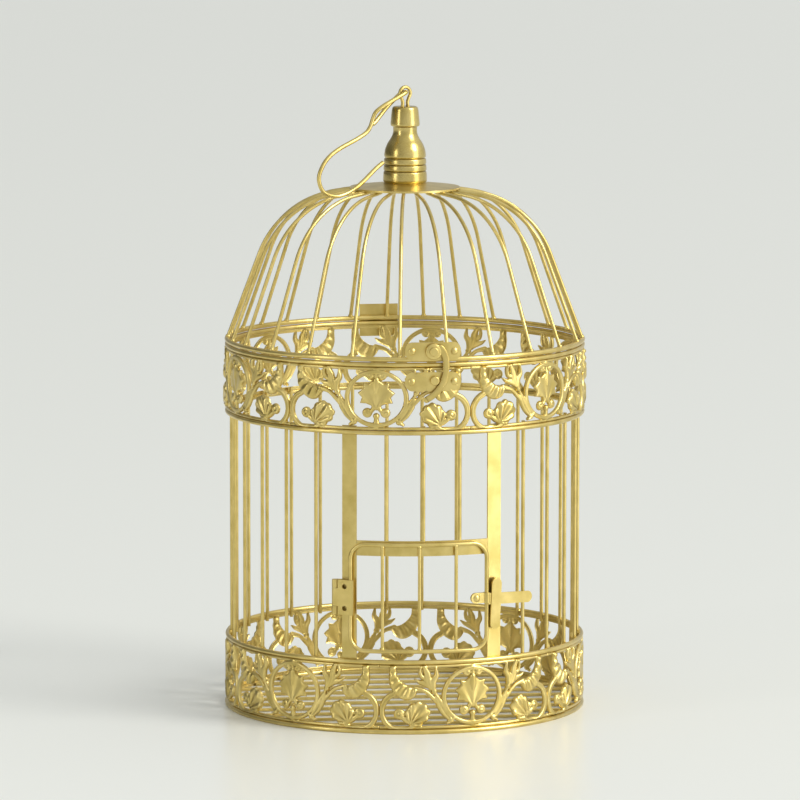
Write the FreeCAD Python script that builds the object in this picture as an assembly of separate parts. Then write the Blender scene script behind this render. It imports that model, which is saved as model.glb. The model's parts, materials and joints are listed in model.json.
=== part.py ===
"""Gold wire birdcage used as a wedding card box.

Millimetres, +Z up. The origin is the centre of the foot circle, the door faces -Y.
Angles round the cage are in degrees from the front (-Y) towards +X.
"""

import FreeCAD
import Part
import math
import os

V = FreeCAD.Vector

# Fits and weld gaps
WELD_GAP = 0.05          # between welded pieces of one body
RUN_FIT = 0.06           # radial play of a turning pin
FIXED_FIT = 0.02         # radial play of a fixed pin
PLAY = 0.3               # between curved faces of two bodies

# Rings
CAGE_RADIUS = 107.1      # centre line of the cage rings
RING_WIRE = 2.8
BASE_WIRE = 3.2
BASE_FLAT = 0.3          # depth of the flat that the base ring stands on
LID_WIRE = 3.0
LOWER_RING_Z = 42.8
UPPER_RING_Z = 179.1
TOP_RING_Z = 219.3

# Upright wires and the doorway
BAR_WIRE = 2.2
BAR_COUNT = 30           # equal places round the cage
BAR_OVERHANG = 2.3       # bar end past its ring
POST_PLACE = 2           # bar places from the front to a post
POST_WIDTH = 8.8
STRIP = 1.0              # thickness of the flat strips
LINTEL_Z = 105.8
LINTEL_HEIGHT = 9.0
FLOOR_WIRE = 2.0
FLOOR_PITCH = 17.5
FLOOR_COUNT = 12

# Filigree bands
BAND_UNITS = 6
BAND_SHEET = 1.0
BAND_RELIEF = 0.8        # raised ornament above the sheet
RELIEF_SINK = 0.3        # how far raised ornament reaches into the sheet
BAND_RIM = 2.0
BAND_INSET = 0.5         # sheet's inner face, inside the rings' centre line
LOWER_BAND_ANGLE = 16.0
UPPER_BAND_ANGLE = -15.0
MOTIF_HALF = 56.08       # half a unit as drawn
MOTIF_HEIGHT = 38.4      # band height as drawn

# Door
DOOR_WIRE = 2.5
DOOR_BAR_WIRE = 2.0
DOOR_LEFT = -23.3
DOOR_RIGHT = 20.7
DOOR_BOTTOM_Z = 49.3
DOOR_TOP_Z = 112.7
DOOR_CORNER = 9.0
DOOR_BAR_CENTRE = -1.3
DOOR_BAR_STEP = 11.7
DOOR_BARS = 3

# Door hinge
DOOR_PIN_ANGLE = -28.3
DOOR_HINGE_Z = 81.0
DOOR_HINGE_HEIGHT = 20.9
DOOR_KNUCKLE = 10.6      # length of the middle knuckle
LEAF = 0.8               # sheet of the hinge leaves
DOOR_PIN_WIRE = 2.0
DOOR_BARREL = 4.0
LEAF_HOLE = 3.0
LEAF_HOLE_RISE = 6.5     # holes above and below the middle
LEAF_HOLE_OUT = 6.6      # holes from the pin

# Door latch
LATCH_STRAP = 0.8
LATCH_Z = 80.0
LATCH_HEIGHT = 10.3
LATCH_TAB = 10.5         # tab from the wire
LATCH_TAB_SHEET = 1.6
FINGER_START = 2.0
FINGER_WIDTH = 7.4
FINGER_HEIGHT = 30.5
FINGER_Z = 76.4
STEM_HEIGHT = 6.8
LATCH_TIP = 3.4          # length of the bent tip
TIP_PLAY = 0.6           # tip past the bar's far side
STEM_BAR_PLAY = 0.4
LATCH_BAR_PLACE = 3      # bar place that the tip reaches
LATCH_RIVET_OUT = 7.0

# Rivets
RIVET_HEAD = 4.6
RIVET_SHANK = 2.4
RIVET_CROWN = 1.1
RIVET_TAIL = 0.6

# Lid: dome rib profile in radius and height above the lid ring
RIB_WIRE = 2.2
SHOULDER_RADIUS = 56.4
RIB_CORNER_OUT = 75.3
RIB_CORNER_UP = 84.2
RIB_END_OUT = 27.0
RIB_TOP_SLOPE = 6.8
FRONT_RIBS = 10
FRONT_STEP = 15.3
REAR_RIBS = 17

# Top disc, finial and eye
DISC_RADIUS = 33.0
DISC_SHEET = 1.2
FINIAL_RADIUS = 13.2
FINIAL_HEIGHT = 45.9
FINIAL_TAPER = 0.05      # radius lost for each millimetre up the drum
FINIAL_GROOVE = 0.5
GROOVE_HEIGHTS = (7.2, 11.0, 14.8)
BULB = ((12.4, 17.0), (12.1, 19.6), (10.7, 23.5), (8.9, 26.2), (7.5, 29.0), (7.3, 33.6))
CAP_RADIUS = 8.7
CAP_TOP_RADIUS = 7.2
CAP_HEIGHT = 11.6
CAP_EDGE = 0.8
SCREW_SHANK = 4.0
SCREW_HEAD = 9.0
SCREW_HEAD_HEIGHT = 2.4
SCREW_DEPTH = 14.0
EYE_WIRE = 2.1
EYE_WIDTH = 9.6
EYE_RISE = 12.6          # top of the eye above the finial
EYE_SEAT = 6.0           # legs inside the finial

# Hanger
HANGER_WIRE = 2.5
HANGER_TURN = -28.0      # direction the hanger leans to, from -X towards the front
PIVOT_RISE = 8.6         # eye strand above the finial
LOOP_HALF = 2.75         # half width of the closed loop
LOOP_LENGTH = (13.2, 9.6)
LOOP_BEND = 2.5
LOOP_CLOSE = 3.0         # bend towards the wire's tucked-in end
LOOP_END = (17.6, 14.8, 1.6)
ARM_BEND = 4.0
ARM_CORNERS = ((20.1, 18.3), (61.2, 43.0), (60.6, 62.6), (41.0, 57.2))
ARM_BENDS = (4.0, 10.0, 10.5, 14.0)
ARM_END = (15.6, 44.2)

# Lid hinge
LID_HINGE_ANGLE = 182.5
LID_HINGE_WIDTH = 24.0
LID_LEAF_HEIGHT = 10.0
LID_PIN_WIRE = 1.6
LID_BARREL = 3.6
KNUCKLE_GAP = 0.25

# Clasp
CLASP_ANGLE = 2.7
CLASP_SHEET = 1.0
CLASP_WIDTH = 32.8
CLASP_CORNER = 0.42      # corner radius as a share of a plate's height
CLASP_UPPER_Z = 222.2
CLASP_UPPER_HEIGHT = 10.6
CLASP_LOWER_Z = 204.0
CLASP_LOWER_HEIGHT = 11.2
CLASP_RIVET_OUT = 12.6
PIVOT_UP = 5.3           # pivot above the upper plate's lower edge
HOOK_LIFT = 0.9          # hook in front of its plate, past the rivet heads
HOOK_SHEET = 1.5
HOOK_HEAD = 4.8
HOOK_ARM = 3.8
HOOK_PATH = ((0.0, 1.4), (4.4, 1.2), (6.9, -3.2), (7.4, -10.2), (6.2, -16.6), (3.2, -22.2), (-0.4, -25.8),
             (-4.2, -28.2))
PIVOT_SHANK = 3.0
PIVOT_HEAD = 5.4
PIVOT_HEAD_HEIGHT = 1.2
KNOB_DROP = 17.1
KNOB_OUT = 0.6
KNOB_RADIUS = 2.7
TONGUE_LENGTH = 8.0      # raised tongue of the lower plate
TONGUE_WIDTH = 2.6
TONGUE_RISE = 1.2
TONGUE_SINK = 0.4
TONGUE_OUT = -6.7
TONGUE_DROP = 15.1
TONGUE_TILT = -30.0

# Values that follow from the sizes above
BASE_Z = BASE_WIRE / 2 - BASE_FLAT
LID_Z = TOP_RING_Z + RING_WIRE / 2 + PLAY + LID_WIRE / 2
RING_INSIDE = CAGE_RADIUS - RING_WIRE / 2
BAR_RADIUS = RING_INSIDE - WELD_GAP - BAR_WIRE / 2
BAR_STEP = 360.0 / BAR_COUNT
POST_ANGLE = POST_PLACE * BAR_STEP
BAR_LOW = LOWER_RING_Z - RING_WIRE / 2 - BAR_OVERHANG
BAR_HIGH = UPPER_RING_Z + RING_WIRE / 2 + BAR_OVERHANG
POST_FACE = math.sqrt((RING_INSIDE - WELD_GAP) ** 2 - (POST_WIDTH / 2) ** 2)
DOOR_RADIUS = RING_INSIDE + PLAY + DOOR_WIRE / 2
DOOR_SIDE_RADIUS = math.hypot(DOOR_RADIUS, DOOR_CORNER)
CORNER_ANGLE = math.degrees(math.atan2(DOOR_CORNER, DOOR_RADIUS))
BAND_IN = CAGE_RADIUS - BAND_INSET
BAND_OUT = BAND_IN + BAND_SHEET
BAND_TOP = BAND_OUT + BAND_RELIEF
LID_OUT = CAGE_RADIUS + LID_WIRE / 2
FINIAL_Z = LID_Z + RIB_CORNER_UP + math.tan(math.radians(RIB_TOP_SLOPE)) * (
    RIB_CORNER_OUT - FINIAL_RADIUS) + RIB_WIRE / 2 + DISC_SHEET + 2 * WELD_GAP
FINIAL_TOP = FINIAL_Z + FINIAL_HEIGHT
PIVOT_Z = FINIAL_TOP + PIVOT_RISE


def polar(radius, angle, z=0.0):
    """Point at an angle round the cage."""
    turn = math.radians(angle)
    return V(radius * math.sin(turn), -radius * math.cos(turn), z)


def tangent(angle):
    """Unit vector along the cage's surface, towards growing angles."""
    turn = math.radians(angle)
    return V(math.cos(turn), math.sin(turn), 0)


def outward(angle):
    """Unit vector away from the cage's axis."""
    return polar(1.0, angle)


def face_frame(angle, radius, z=0.0):
    """Placement with X along the surface, Y up and Z outward."""
    side = tangent(angle)
    out = outward(angle)
    spot = polar(radius, angle, z)
    return FreeCAD.Placement(FreeCAD.Matrix(
        side.x, 0, out.x, spot.x,
        side.y, 0, out.y, spot.y,
        0, 1, 0, spot.z,
        0, 0, 0, 1))


def placed(shape, placement):
    """Copy of a shape moved by a placement."""
    moved = shape.copy()
    moved.Placement = placement.multiply(moved.Placement)
    return moved


def turned(shape, angle):
    """Copy of a shape turned about the cage's axis."""
    moved = shape.copy()
    moved.rotate(V(0, 0, 0), V(0, 0, 1), angle)
    return moved


def fused(shapes):
    """One solid made of several touching shapes."""
    whole = shapes[0].multiFuse(shapes[1:]) if len(shapes) > 1 else shapes[0]
    whole = whole.removeSplitter()
    return whole.Solids[0] if len(whole.Solids) == 1 else whole


def rod(start, end, diameter):
    """Round bar between two points."""
    along = end - start
    return Part.makeCylinder(diameter / 2, along.Length, start, along)


def ring(radius, wire, z):
    """Closed wire ring about the cage's axis."""
    return Part.makeTorus(radius, wire / 2, V(0, 0, z))


def curved_strip(inner, sheet, start, stop, low, high):
    """Upright strip bent round the cage between two angles."""
    profile = [polar(inner, start, low), polar(inner + sheet, start, low),
               polar(inner + sheet, start, high), polar(inner, start, high)]
    face = Part.Face(Part.makePolygon(profile + profile[:1]))
    return face.revolve(V(0, 0, 0), V(0, 0, 1), stop - start)


def wire_along(edges, diameter):
    """Round wire swept along edges that join smoothly."""
    path = Part.Wire(edges)
    first = edges[0]
    start = first.valueAt(first.FirstParameter)
    along = first.tangentAt(first.FirstParameter)
    section = Part.Wire(Part.makeCircle(diameter / 2, start, along))
    return path.makePipeShell([section], True, True)


def bent_path(points, radii):
    """Straight runs joined by tangent arcs; one radius for each inner point."""
    edges = []
    start = points[0]
    for before, corner, after, radius in zip(points, points[1:], points[2:], radii):
        back = (before - corner).normalize()
        ahead = (after - corner).normalize()
        half = back.getAngle(ahead) / 2
        reach = radius / math.tan(half)
        enter = corner + back * reach
        leave = corner + ahead * reach
        bisector = (back + ahead).normalize()
        middle = corner + bisector * (radius / math.sin(half) - radius)
        edges.append(Part.LineSegment(start, enter).toShape())
        edges.append(Part.Arc(enter, middle, leave).toShape())
        start = leave
    edges.append(Part.LineSegment(start, points[-1]).toShape())
    return edges


def rivet(sheet, tail_height):
    """Rivet along Z through a sheet whose outer face is at Z = 0, with a tail or flush behind it."""
    crown_radius = (RIVET_CROWN ** 2 + (RIVET_HEAD / 2) ** 2) / (2 * RIVET_CROWN)
    ball = Part.makeSphere(crown_radius, V(0, 0, RIVET_CROWN - crown_radius))
    head = ball.common(Part.makeCylinder(RIVET_HEAD, RIVET_CROWN, V(0, 0, WELD_GAP)))
    depth = sheet + WELD_GAP if tail_height else sheet
    pieces = [head, Part.makeCylinder(RIVET_SHANK / 2, depth + WELD_GAP, V(0, 0, -depth))]
    if tail_height:
        pieces.append(Part.makeCylinder(RIVET_HEAD / 3, tail_height, V(0, 0, -depth - tail_height)))
    return fused(pieces)


def rivet_hole(sheet):
    """Hole for a rivet through a sheet whose outer face is at Z = 0."""
    return Part.makeCylinder(RIVET_SHANK / 2 + FIXED_FIT, 3 * sheet, V(0, 0, -2 * sheet))


# Rings, bars and floor

def base_ring():
    whole = ring(CAGE_RADIUS + (BASE_WIRE - RING_WIRE) / 2, BASE_WIRE, BASE_Z)
    reach = 2 * CAGE_RADIUS
    return whole.common(Part.makeBox(2 * reach, 2 * reach, BASE_WIRE, V(-reach, -reach, 0)))


def floor_wires():
    inside = CAGE_RADIUS - RING_WIRE / 2 - WELD_GAP
    wires = []
    for index in range(FLOOR_COUNT):
        y = (index - (FLOOR_COUNT - 1) / 2) * FLOOR_PITCH
        half = math.sqrt(inside ** 2 - (abs(y) + FLOOR_WIRE / 2) ** 2)
        wires.append(rod(V(-half, y, BASE_Z), V(half, y, BASE_Z), FLOOR_WIRE))
    return Part.makeCompound(wires)


def upright(angle, low, high):
    return rod(polar(BAR_RADIUS, angle, low), polar(BAR_RADIUS, angle, high), BAR_WIRE)


def post(angle):
    height = BAR_HIGH - BAR_LOW
    plate = Part.makeBox(POST_WIDTH, height, STRIP, V(-POST_WIDTH / 2, 0, -STRIP))
    return placed(plate, face_frame(angle, POST_FACE, BAR_LOW))


def lintel():
    half = POST_ANGLE - math.degrees(math.atan2(POST_WIDTH / 2 + WELD_GAP, POST_FACE - STRIP))
    inner = POST_FACE - STRIP
    return curved_strip(inner, STRIP, -half, half, LINTEL_Z, LINTEL_Z + LINTEL_HEIGHT)


def transom_bars():
    low = LINTEL_Z + LINTEL_HEIGHT + WELD_GAP
    places = range(1 - POST_PLACE, POST_PLACE)
    return Part.makeCompound([upright(place * BAR_STEP, low, BAR_HIGH) for place in places])


# Filigree bands

def mirrored(points):
    return [(-u, v) for u, v in reversed(points)]


def smooth_outline(points):
    """Closed smooth curve through points."""
    curve = Part.BSplineCurve()
    curve.interpolate([V(u, v, 0) for u, v in points], PeriodicFlag=True)
    return Part.Wire(curve.toShape())


def stroke(points, widths):
    """Outline of a tapering brush stroke along points."""
    left = []
    right = []
    for index, (u, v) in enumerate(points):
        before = points[max(index - 1, 0)]
        after = points[min(index + 1, len(points) - 1)]
        run = math.hypot(after[0] - before[0], after[1] - before[1])
        side = (-(after[1] - before[1]) / run, (after[0] - before[0]) / run)
        half = widths[index] / 2
        left.append((u + side[0] * half, v + side[1] * half))
        right.append((u - side[0] * half, v - side[1] * half))
    return left + right[::-1]


def disc(u, v, radius):
    return Part.Wire(Part.makeCircle(radius, V(u, v, 0)))


class Ornament:
    """Pieces of one filigree unit, drawn flat and pressed onto the band's cylinder."""

    def __init__(self, height):
        self.wide = math.radians(180.0 / BAND_UNITS) * CAGE_RADIUS / MOTIF_HALF
        self.tall = height / MOTIF_HEIGHT
        self.height = height
        self.sheet = []
        self.raised = []

    def press(self, wires, middle, group):
        """Turn drawn wires into a block that points away from the axis at a place along the band."""
        angle = math.degrees(middle * self.wide / CAGE_RADIUS)
        grow = FreeCAD.Matrix()
        grow.scale(self.wide, self.tall, 1.0)
        shift = FreeCAD.Matrix()
        shift.move(V(-middle, 0, 0))
        faces = Part.makeFace([wire.transformGeometry(grow.multiply(shift)) for wire in wires],
                              "Part::FaceMakerBullseye")
        block = faces.extrude(V(0, 0, 6 * BAND_SHEET))
        group.append(placed(block, face_frame(angle, BAND_IN - 3 * BAND_SHEET)))

    def both(self, wires, middle, group):
        """Press drawn wires and their mirror image."""
        self.press(wires, middle, group)
        flip = FreeCAD.Matrix()
        flip.scale(-1.0, 1.0, 1.0)
        self.press([wire.transformGeometry(flip) for wire in wires], -middle, group)

    def cartouche(self):
        """Round frame with a shield, four volutes and a drop."""
        middle = MOTIF_HEIGHT / 2
        outer = MOTIF_HEIGHT / 2 - 0.8
        self.press([disc(0, middle, outer), disc(0, middle, outer - 3.2)], 0.0, self.raised)
        half = [(0, 30.6), (4.5, 31.2), (8.6, 30.2), (9.4, 26.5), (10.9, 23.4), (8.2, 20.6), (6.6, 17.2),
                (3.0, 15.4)]
        self.press([smooth_outline(half + [(0, 14.6)] + mirrored(half)[:-1])], 0.0, self.raised)
        self.both([disc(3.5, 32.4, 2.2)], 3.5, self.sheet)
        self.both([disc(3.6, 12.4, 2.8)], 3.6, self.sheet)
        for low, high in ((2.0, 16.0), (30.0, 37.0)):
            stem = [(-1.5, low), (1.5, low), (1.5, high), (-1.5, high)]
            self.press([Part.makePolygon([V(u, v, 0) for u, v in stem + stem[:1]])], 0.0, self.sheet)
        for tilt in (-1, 1):
            arm = stroke([(tilt * 8.5, 24.0), (tilt * 13.0, 24.6), (tilt * 17.0, 24.0)], [2.4, 2.0, 2.4])
            self.press([smooth_outline(arm)], tilt * 13.0, self.sheet)

    def scroll(self):
        """Round scroll that meets its twin at the panel's end, with a curl and a leaf inside."""
        middle = (42.8, 11.4)
        outer = MOTIF_HALF - middle[0] - WELD_GAP
        self.both([disc(*middle, outer), disc(*middle, outer - 3.7)], middle[0], self.raised)
        self.both([disc(44.0, 9.2, 3.2)], 44.0, self.sheet)
        leaf = [(26.0, 9.5), (29.0, 14.5), (34.5, 16.2), (39.6, 13.0), (43.0, 9.5), (39.0, 5.6), (33.0, 3.6),
                (28.0, 4.8)]
        self.both([smooth_outline(leaf)], 35.0, self.raised)

    def horn(self):
        """Fluted horn rising from the scroll, with the stem that carries it."""
        horn = [(46.0, 37.4), (50.0, 37.4), (50.6, 28.5), (48.2, 21.9), (42.6, 17.4), (36.6, 17.6), (33.6, 21.6),
                (39.6, 26.1), (44.4, 31.5)]
        self.both([smooth_outline(horn)], 43.0, self.raised)
        stem = stroke([(36.0, 21.6), (30.8, 21.6), (25.5, 16.6), (21.4, 10.0), (16.8, 3.0)],
                      [4.0, 3.2, 3.6, 4.4, 4.0])
        self.both([smooth_outline(stem)], 26.0, self.sheet)

    def bud(self):
        """Tulip bud between the cartouche and the horn."""
        bud = [(21.4, 35.6), (22.2, 28.5), (23.6, 21.5), (26.5, 20.6), (28.6, 24.2), (34.6, 28.6), (31.0, 30.6),
               (31.6, 36.8), (27.2, 33.6)]
        self.both([smooth_outline(bud)], 27.0, self.sheet)
        link = stroke([(15.5, 12.0), (19.5, 16.0), (24.0, 22.0)], [3.2, 3.4, 3.2])
        self.both([smooth_outline(link)], 20.0, self.sheet)

    def shell(self, inner, outer):
        whole = Part.makeCylinder(outer, self.height)
        return whole.cut(Part.makeCylinder(inner, self.height))

    def panel(self):
        """One panel about the front, from z = 0 up."""
        half = 180.0 / BAND_UNITS - math.degrees(WELD_GAP / CAGE_RADIUS)
        rims = [curved_strip(BAND_IN, BAND_SHEET, -half, half, low, low + BAND_RIM)
                for low in (0.0, self.height - BAND_RIM)]
        self.cartouche()
        self.scroll()
        self.horn()
        self.bud()
        sheet = fused(self.sheet).common(self.shell(BAND_IN, BAND_OUT))
        raised = fused(self.raised).common(self.shell(BAND_OUT - RELIEF_SINK, BAND_TOP))
        return fused(rims + [sheet, raised])


def band(low, high, angle):
    panel = Ornament(high - low).panel()
    step = 360.0 / BAND_UNITS
    panels = []
    for index in range(BAND_UNITS):
        copy = turned(panel, angle + index * step)
        copy.translate(V(0, 0, low))
        panels.append(copy)
    return Part.makeCompound(panels)


def lower_band():
    low = BASE_Z + BASE_WIRE / 2 + WELD_GAP
    return band(low, LOWER_RING_Z - RING_WIRE / 2 - WELD_GAP, LOWER_BAND_ANGLE)


def upper_band():
    low = UPPER_RING_Z + RING_WIRE / 2 + WELD_GAP
    return band(low, TOP_RING_Z - RING_WIRE / 2 - WELD_GAP, UPPER_BAND_ANGLE)


# Door

def door_frame():
    """Closed wire: two arcs round the cage, two uprights and four round corners."""
    left = DOOR_LEFT + CORNER_ANGLE
    right = DOOR_RIGHT - CORNER_ANGLE
    turn = DOOR_CORNER * math.sqrt(0.5)
    edges = []

    def level(z, start, stop):
        middle = polar(DOOR_RADIUS, (start + stop) / 2, z)
        edges.append(Part.Arc(polar(DOOR_RADIUS, start, z), middle, polar(DOOR_RADIUS, stop, z)).toShape())

    def corner(angle, side, z, rise, leaving):
        """Quarter circle between the level wire's end and the upright."""
        foot = polar(DOOR_RADIUS, angle, z)
        out = tangent(angle) * side
        middle = foot + out * turn + V(0, 0, rise * (DOOR_CORNER - turn))
        top = foot + out * DOOR_CORNER + V(0, 0, rise * DOOR_CORNER)
        ends = (foot, top) if leaving else (top, foot)
        edges.append(Part.Arc(ends[0], middle, ends[1]).toShape())

    def side_wire(angle, low, high):
        start = polar(DOOR_SIDE_RADIUS, angle, low)
        edges.append(Part.LineSegment(start, polar(DOOR_SIDE_RADIUS, angle, high)).toShape())

    low = DOOR_BOTTOM_Z + DOOR_CORNER
    high = DOOR_TOP_Z - DOOR_CORNER
    level(DOOR_BOTTOM_Z, left, right)
    corner(right, 1, DOOR_BOTTOM_Z, 1, True)
    side_wire(DOOR_RIGHT, low, high)
    corner(right, 1, DOOR_TOP_Z, -1, False)
    level(DOOR_TOP_Z, right, left)
    corner(left, -1, DOOR_TOP_Z, -1, True)
    side_wire(DOOR_LEFT, high, low)
    corner(left, -1, DOOR_BOTTOM_Z, 1, False)
    return wire_along(edges, DOOR_WIRE)


def door_bars():
    low = DOOR_BOTTOM_Z + DOOR_WIRE / 2 + WELD_GAP
    high = DOOR_TOP_Z - DOOR_WIRE / 2 - WELD_GAP
    bars = []
    for index in range(DOOR_BARS):
        angle = DOOR_BAR_CENTRE + (index - (DOOR_BARS - 1) / 2) * DOOR_BAR_STEP
        bars.append(rod(polar(DOOR_RADIUS, angle, low), polar(DOOR_RADIUS, angle, high), DOOR_BAR_WIRE))
    return Part.makeCompound(bars)


# Door hinge: drawn at the pin, X along the surface, Y up, Z outward

DOOR_PIN_RADIUS = DOOR_SIDE_RADIUS
DOOR_PIN_FRAME = face_frame(DOOR_PIN_ANGLE, DOOR_PIN_RADIUS, DOOR_HINGE_Z)


def in_pin_frame(point):
    return DOOR_PIN_FRAME.inverse().multVec(point)


def upright_barrel(low, high):
    return Part.makeCylinder(DOOR_BARREL / 2, high - low, V(0, low, 0), V(0, 1, 0))


def pin_bore(fit):
    reach = DOOR_HINGE_HEIGHT
    return Part.makeCylinder(DOOR_PIN_WIRE / 2 + fit, 2 * reach, V(0, -reach, 0), V(0, 1, 0))


def leaf_plate(start, stop, low, high):
    """Flat leaf between two points seen from above, its sheet lying outward of the line."""
    along = (stop - start).normalize()
    off = V(0, -1, 0).cross(along) * LEAF
    corners = [start, stop, stop + off, start + off]
    corners = [V(corner.x, low, corner.z) for corner in corners]
    return Part.Face(Part.makePolygon(corners + corners[:1])).extrude(V(0, high - low, 0))


def door_hinge_front_leaf():
    """Leaf over the door's left wire, with the middle knuckle."""
    half = DOOR_HINGE_HEIGHT / 2
    wire = in_pin_frame(polar(DOOR_SIDE_RADIUS, DOOR_LEFT, DOOR_HINGE_Z))
    lift = DOOR_WIRE / 2 + WELD_GAP
    start = V(0, 0, DOOR_BARREL / 2 - LEAF)
    stop = V(wire.x + DOOR_WIRE, 0, wire.z + lift)
    clear = DOOR_BARREL / 2 + PLAY
    plate = leaf_plate(start, stop, -half, half)
    for low, high in ((-half, -DOOR_KNUCKLE / 2), (DOOR_KNUCKLE / 2, half)):
        notch = Part.makeBox(2 * clear, high - low, 4 * clear, V(-clear, low, -2 * clear))
        plate = plate.cut(notch)
    play = KNUCKLE_GAP / 2
    knuckle = upright_barrel(-DOOR_KNUCKLE / 2 + play, DOOR_KNUCKLE / 2 - play)
    leaf = fused([plate, knuckle]).cut(pin_bore(RUN_FIT))
    for rise in (-LEAF_HOLE_RISE, LEAF_HOLE_RISE):
        leaf = leaf.cut(Part.makeCylinder(LEAF_HOLE / 2, 8 * LEAF, V(LEAF_HOLE_OUT, rise, -LEAF)))
    return placed(leaf, DOOR_PIN_FRAME)


def door_hinge_rear_leaf():
    """Leaf on the left post's face, with the two end knuckles."""
    half = DOOR_HINGE_HEIGHT / 2
    seat = face_frame(-POST_ANGLE, POST_FACE, DOOR_HINGE_Z)
    wire = seat.inverse().multVec(polar(DOOR_SIDE_RADIUS, DOOR_LEFT, DOOR_HINGE_Z))
    edge = in_pin_frame(seat.multVec(V(wire.x - DOOR_WIRE / 2 - PLAY, 0, WELD_GAP)))
    bend = in_pin_frame(seat.multVec(V(-POST_WIDTH / 2, 0, WELD_GAP)))
    start = V(0, 0, bend.z - (edge.z - bend.z) / (edge.x - bend.x) * bend.x)
    clear = DOOR_BARREL / 2 + PLAY
    plate = leaf_plate(start, edge, -half, half)
    notch = Part.makeBox(2 * clear, DOOR_KNUCKLE, 4 * clear, V(-clear, -DOOR_KNUCKLE / 2, -2 * clear))
    plate = plate.cut(notch)
    play = KNUCKLE_GAP / 2
    knuckles = [upright_barrel(low + play, high - play)
                for low, high in ((-half, -DOOR_KNUCKLE / 2), (DOOR_KNUCKLE / 2, half))]
    leaf = fused([plate] + knuckles).cut(pin_bore(FIXED_FIT))
    return placed(leaf, DOOR_PIN_FRAME)


def door_hinge_pin():
    half = DOOR_HINGE_HEIGHT / 2
    return placed(rod(V(0, -half, 0), V(0, half, 0), DOOR_PIN_WIRE), DOOR_PIN_FRAME)


# Door latch: drawn at the door's right wire, X along the surface, Y up, Z outward

LATCH_FRAME = face_frame(DOOR_RIGHT, DOOR_SIDE_RADIUS, LATCH_Z)
SLEEVE_IN = DOOR_WIRE / 2 + RUN_FIT


def latch_bar():
    """Centre of the bar that the latch reaches, in the latch's frame."""
    return LATCH_FRAME.inverse().multVec(polar(BAR_RADIUS, LATCH_BAR_PLACE * BAR_STEP, LATCH_Z))


def latch_lean():
    """Turn of the plate that brings its inner face just outside the bar."""
    bar = latch_bar()
    reach = math.hypot(bar.x, bar.z)
    offset = SLEEVE_IN - BAR_WIRE / 2 - STEM_BAR_PLAY
    return math.degrees(math.atan2(-bar.z, bar.x) + math.asin(offset / reach))


def rounded_bar(width, height, sheet, radius):
    """Flat bar centred on the origin with rounded corners in its plane."""
    box = Part.makeBox(width, height, sheet, V(-width / 2, -height / 2, 0))
    upright_edges = [edge for edge in box.Edges if abs(edge.tangentAt(edge.FirstParameter).z) > 0.9]
    return box.makeFillet(radius, upright_edges)


def latch_plate():
    """Strap folded round the wire: inner tab, sleeve, finger bar, stem and bent tip."""
    bar = latch_bar()
    half = LATCH_HEIGHT / 2
    tip = math.hypot(bar.x, bar.z) + BAR_WIRE / 2 + TIP_PLAY
    sleeve = Part.makeCylinder(SLEEVE_IN + LATCH_STRAP, LATCH_HEIGHT, V(0, -half, 0), V(0, 1, 0))
    tab = Part.makeBox(LATCH_TAB, LATCH_HEIGHT, LATCH_TAB_SHEET, V(-LATCH_TAB, -half, -LATCH_TAB_SHEET / 2))
    finger = rounded_bar(FINGER_WIDTH, FINGER_HEIGHT, LATCH_STRAP, FINGER_WIDTH / 2 - WELD_GAP)
    finger.translate(V(FINGER_START + FINGER_WIDTH / 2, FINGER_Z - LATCH_Z, SLEEVE_IN))
    root = Part.makeBox(FINGER_START + FINGER_WIDTH / 2, LATCH_HEIGHT, LATCH_STRAP, V(0, -half, SLEEVE_IN))
    stem_low = FINGER_Z - LATCH_Z - STEM_HEIGHT / 2
    stem = Part.makeBox(tip + LATCH_STRAP - FINGER_START, STEM_HEIGHT, LATCH_STRAP,
                        V(FINGER_START, stem_low, SLEEVE_IN))
    end = Part.makeBox(LATCH_STRAP, STEM_HEIGHT, LATCH_TIP,
                       V(tip, stem_low, SLEEVE_IN + LATCH_STRAP - LATCH_TIP))
    flat = fused([finger, root, stem, end])
    flat.rotate(V(0, 0, 0), V(0, 1, 0), latch_lean())
    bore = Part.makeCylinder(SLEEVE_IN, 2 * LATCH_HEIGHT, V(0, -LATCH_HEIGHT, 0), V(0, 1, 0))
    plate = fused([sleeve, tab, flat]).cut(bore)
    plate = plate.cut(placed(rivet_hole(LATCH_TAB_SHEET), latch_rivet_place()))
    return placed(plate, LATCH_FRAME)


def latch_rivet_place():
    return FreeCAD.Placement(V(-LATCH_RIVET_OUT, 0, LATCH_TAB_SHEET / 2), FreeCAD.Rotation())


def latch_rivet():
    return placed(placed(rivet(LATCH_TAB_SHEET, RIVET_TAIL), latch_rivet_place()), LATCH_FRAME)


# Lid

def rib_profile(angle):
    """Centre line of one dome rib: leaning run, round shoulder and top run."""
    corner = (RIB_CORNER_OUT, RIB_CORNER_UP)
    slope = math.tan(math.radians(RIB_TOP_SLOPE))
    end = (RIB_END_OUT, RIB_CORNER_UP + slope * (RIB_CORNER_OUT - RIB_END_OUT))
    run = math.hypot(CAGE_RADIUS - corner[0], corner[1])
    lift = (LID_WIRE / 2 + WELD_GAP) / run
    foot = (CAGE_RADIUS + (corner[0] - CAGE_RADIUS) * lift, corner[1] * lift)
    points = [polar(r, angle, LID_Z + h) for r, h in (foot, corner, end)]
    return bent_path(points, [SHOULDER_RADIUS])


def rib_angles():
    """Even spacing at the front, and a closer even spacing over the rest."""
    front = [(index - (FRONT_RIBS - 1) / 2) * FRONT_STEP for index in range(FRONT_RIBS)]
    gap = (360.0 - (front[-1] - front[0])) / (REAR_RIBS + 1)
    return front + [front[-1] + gap * (index + 1) for index in range(REAR_RIBS)]


def dome_ribs():
    pattern = wire_along(rib_profile(0.0), RIB_WIRE)
    return Part.makeCompound([turned(pattern, angle) for angle in rib_angles()])


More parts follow.
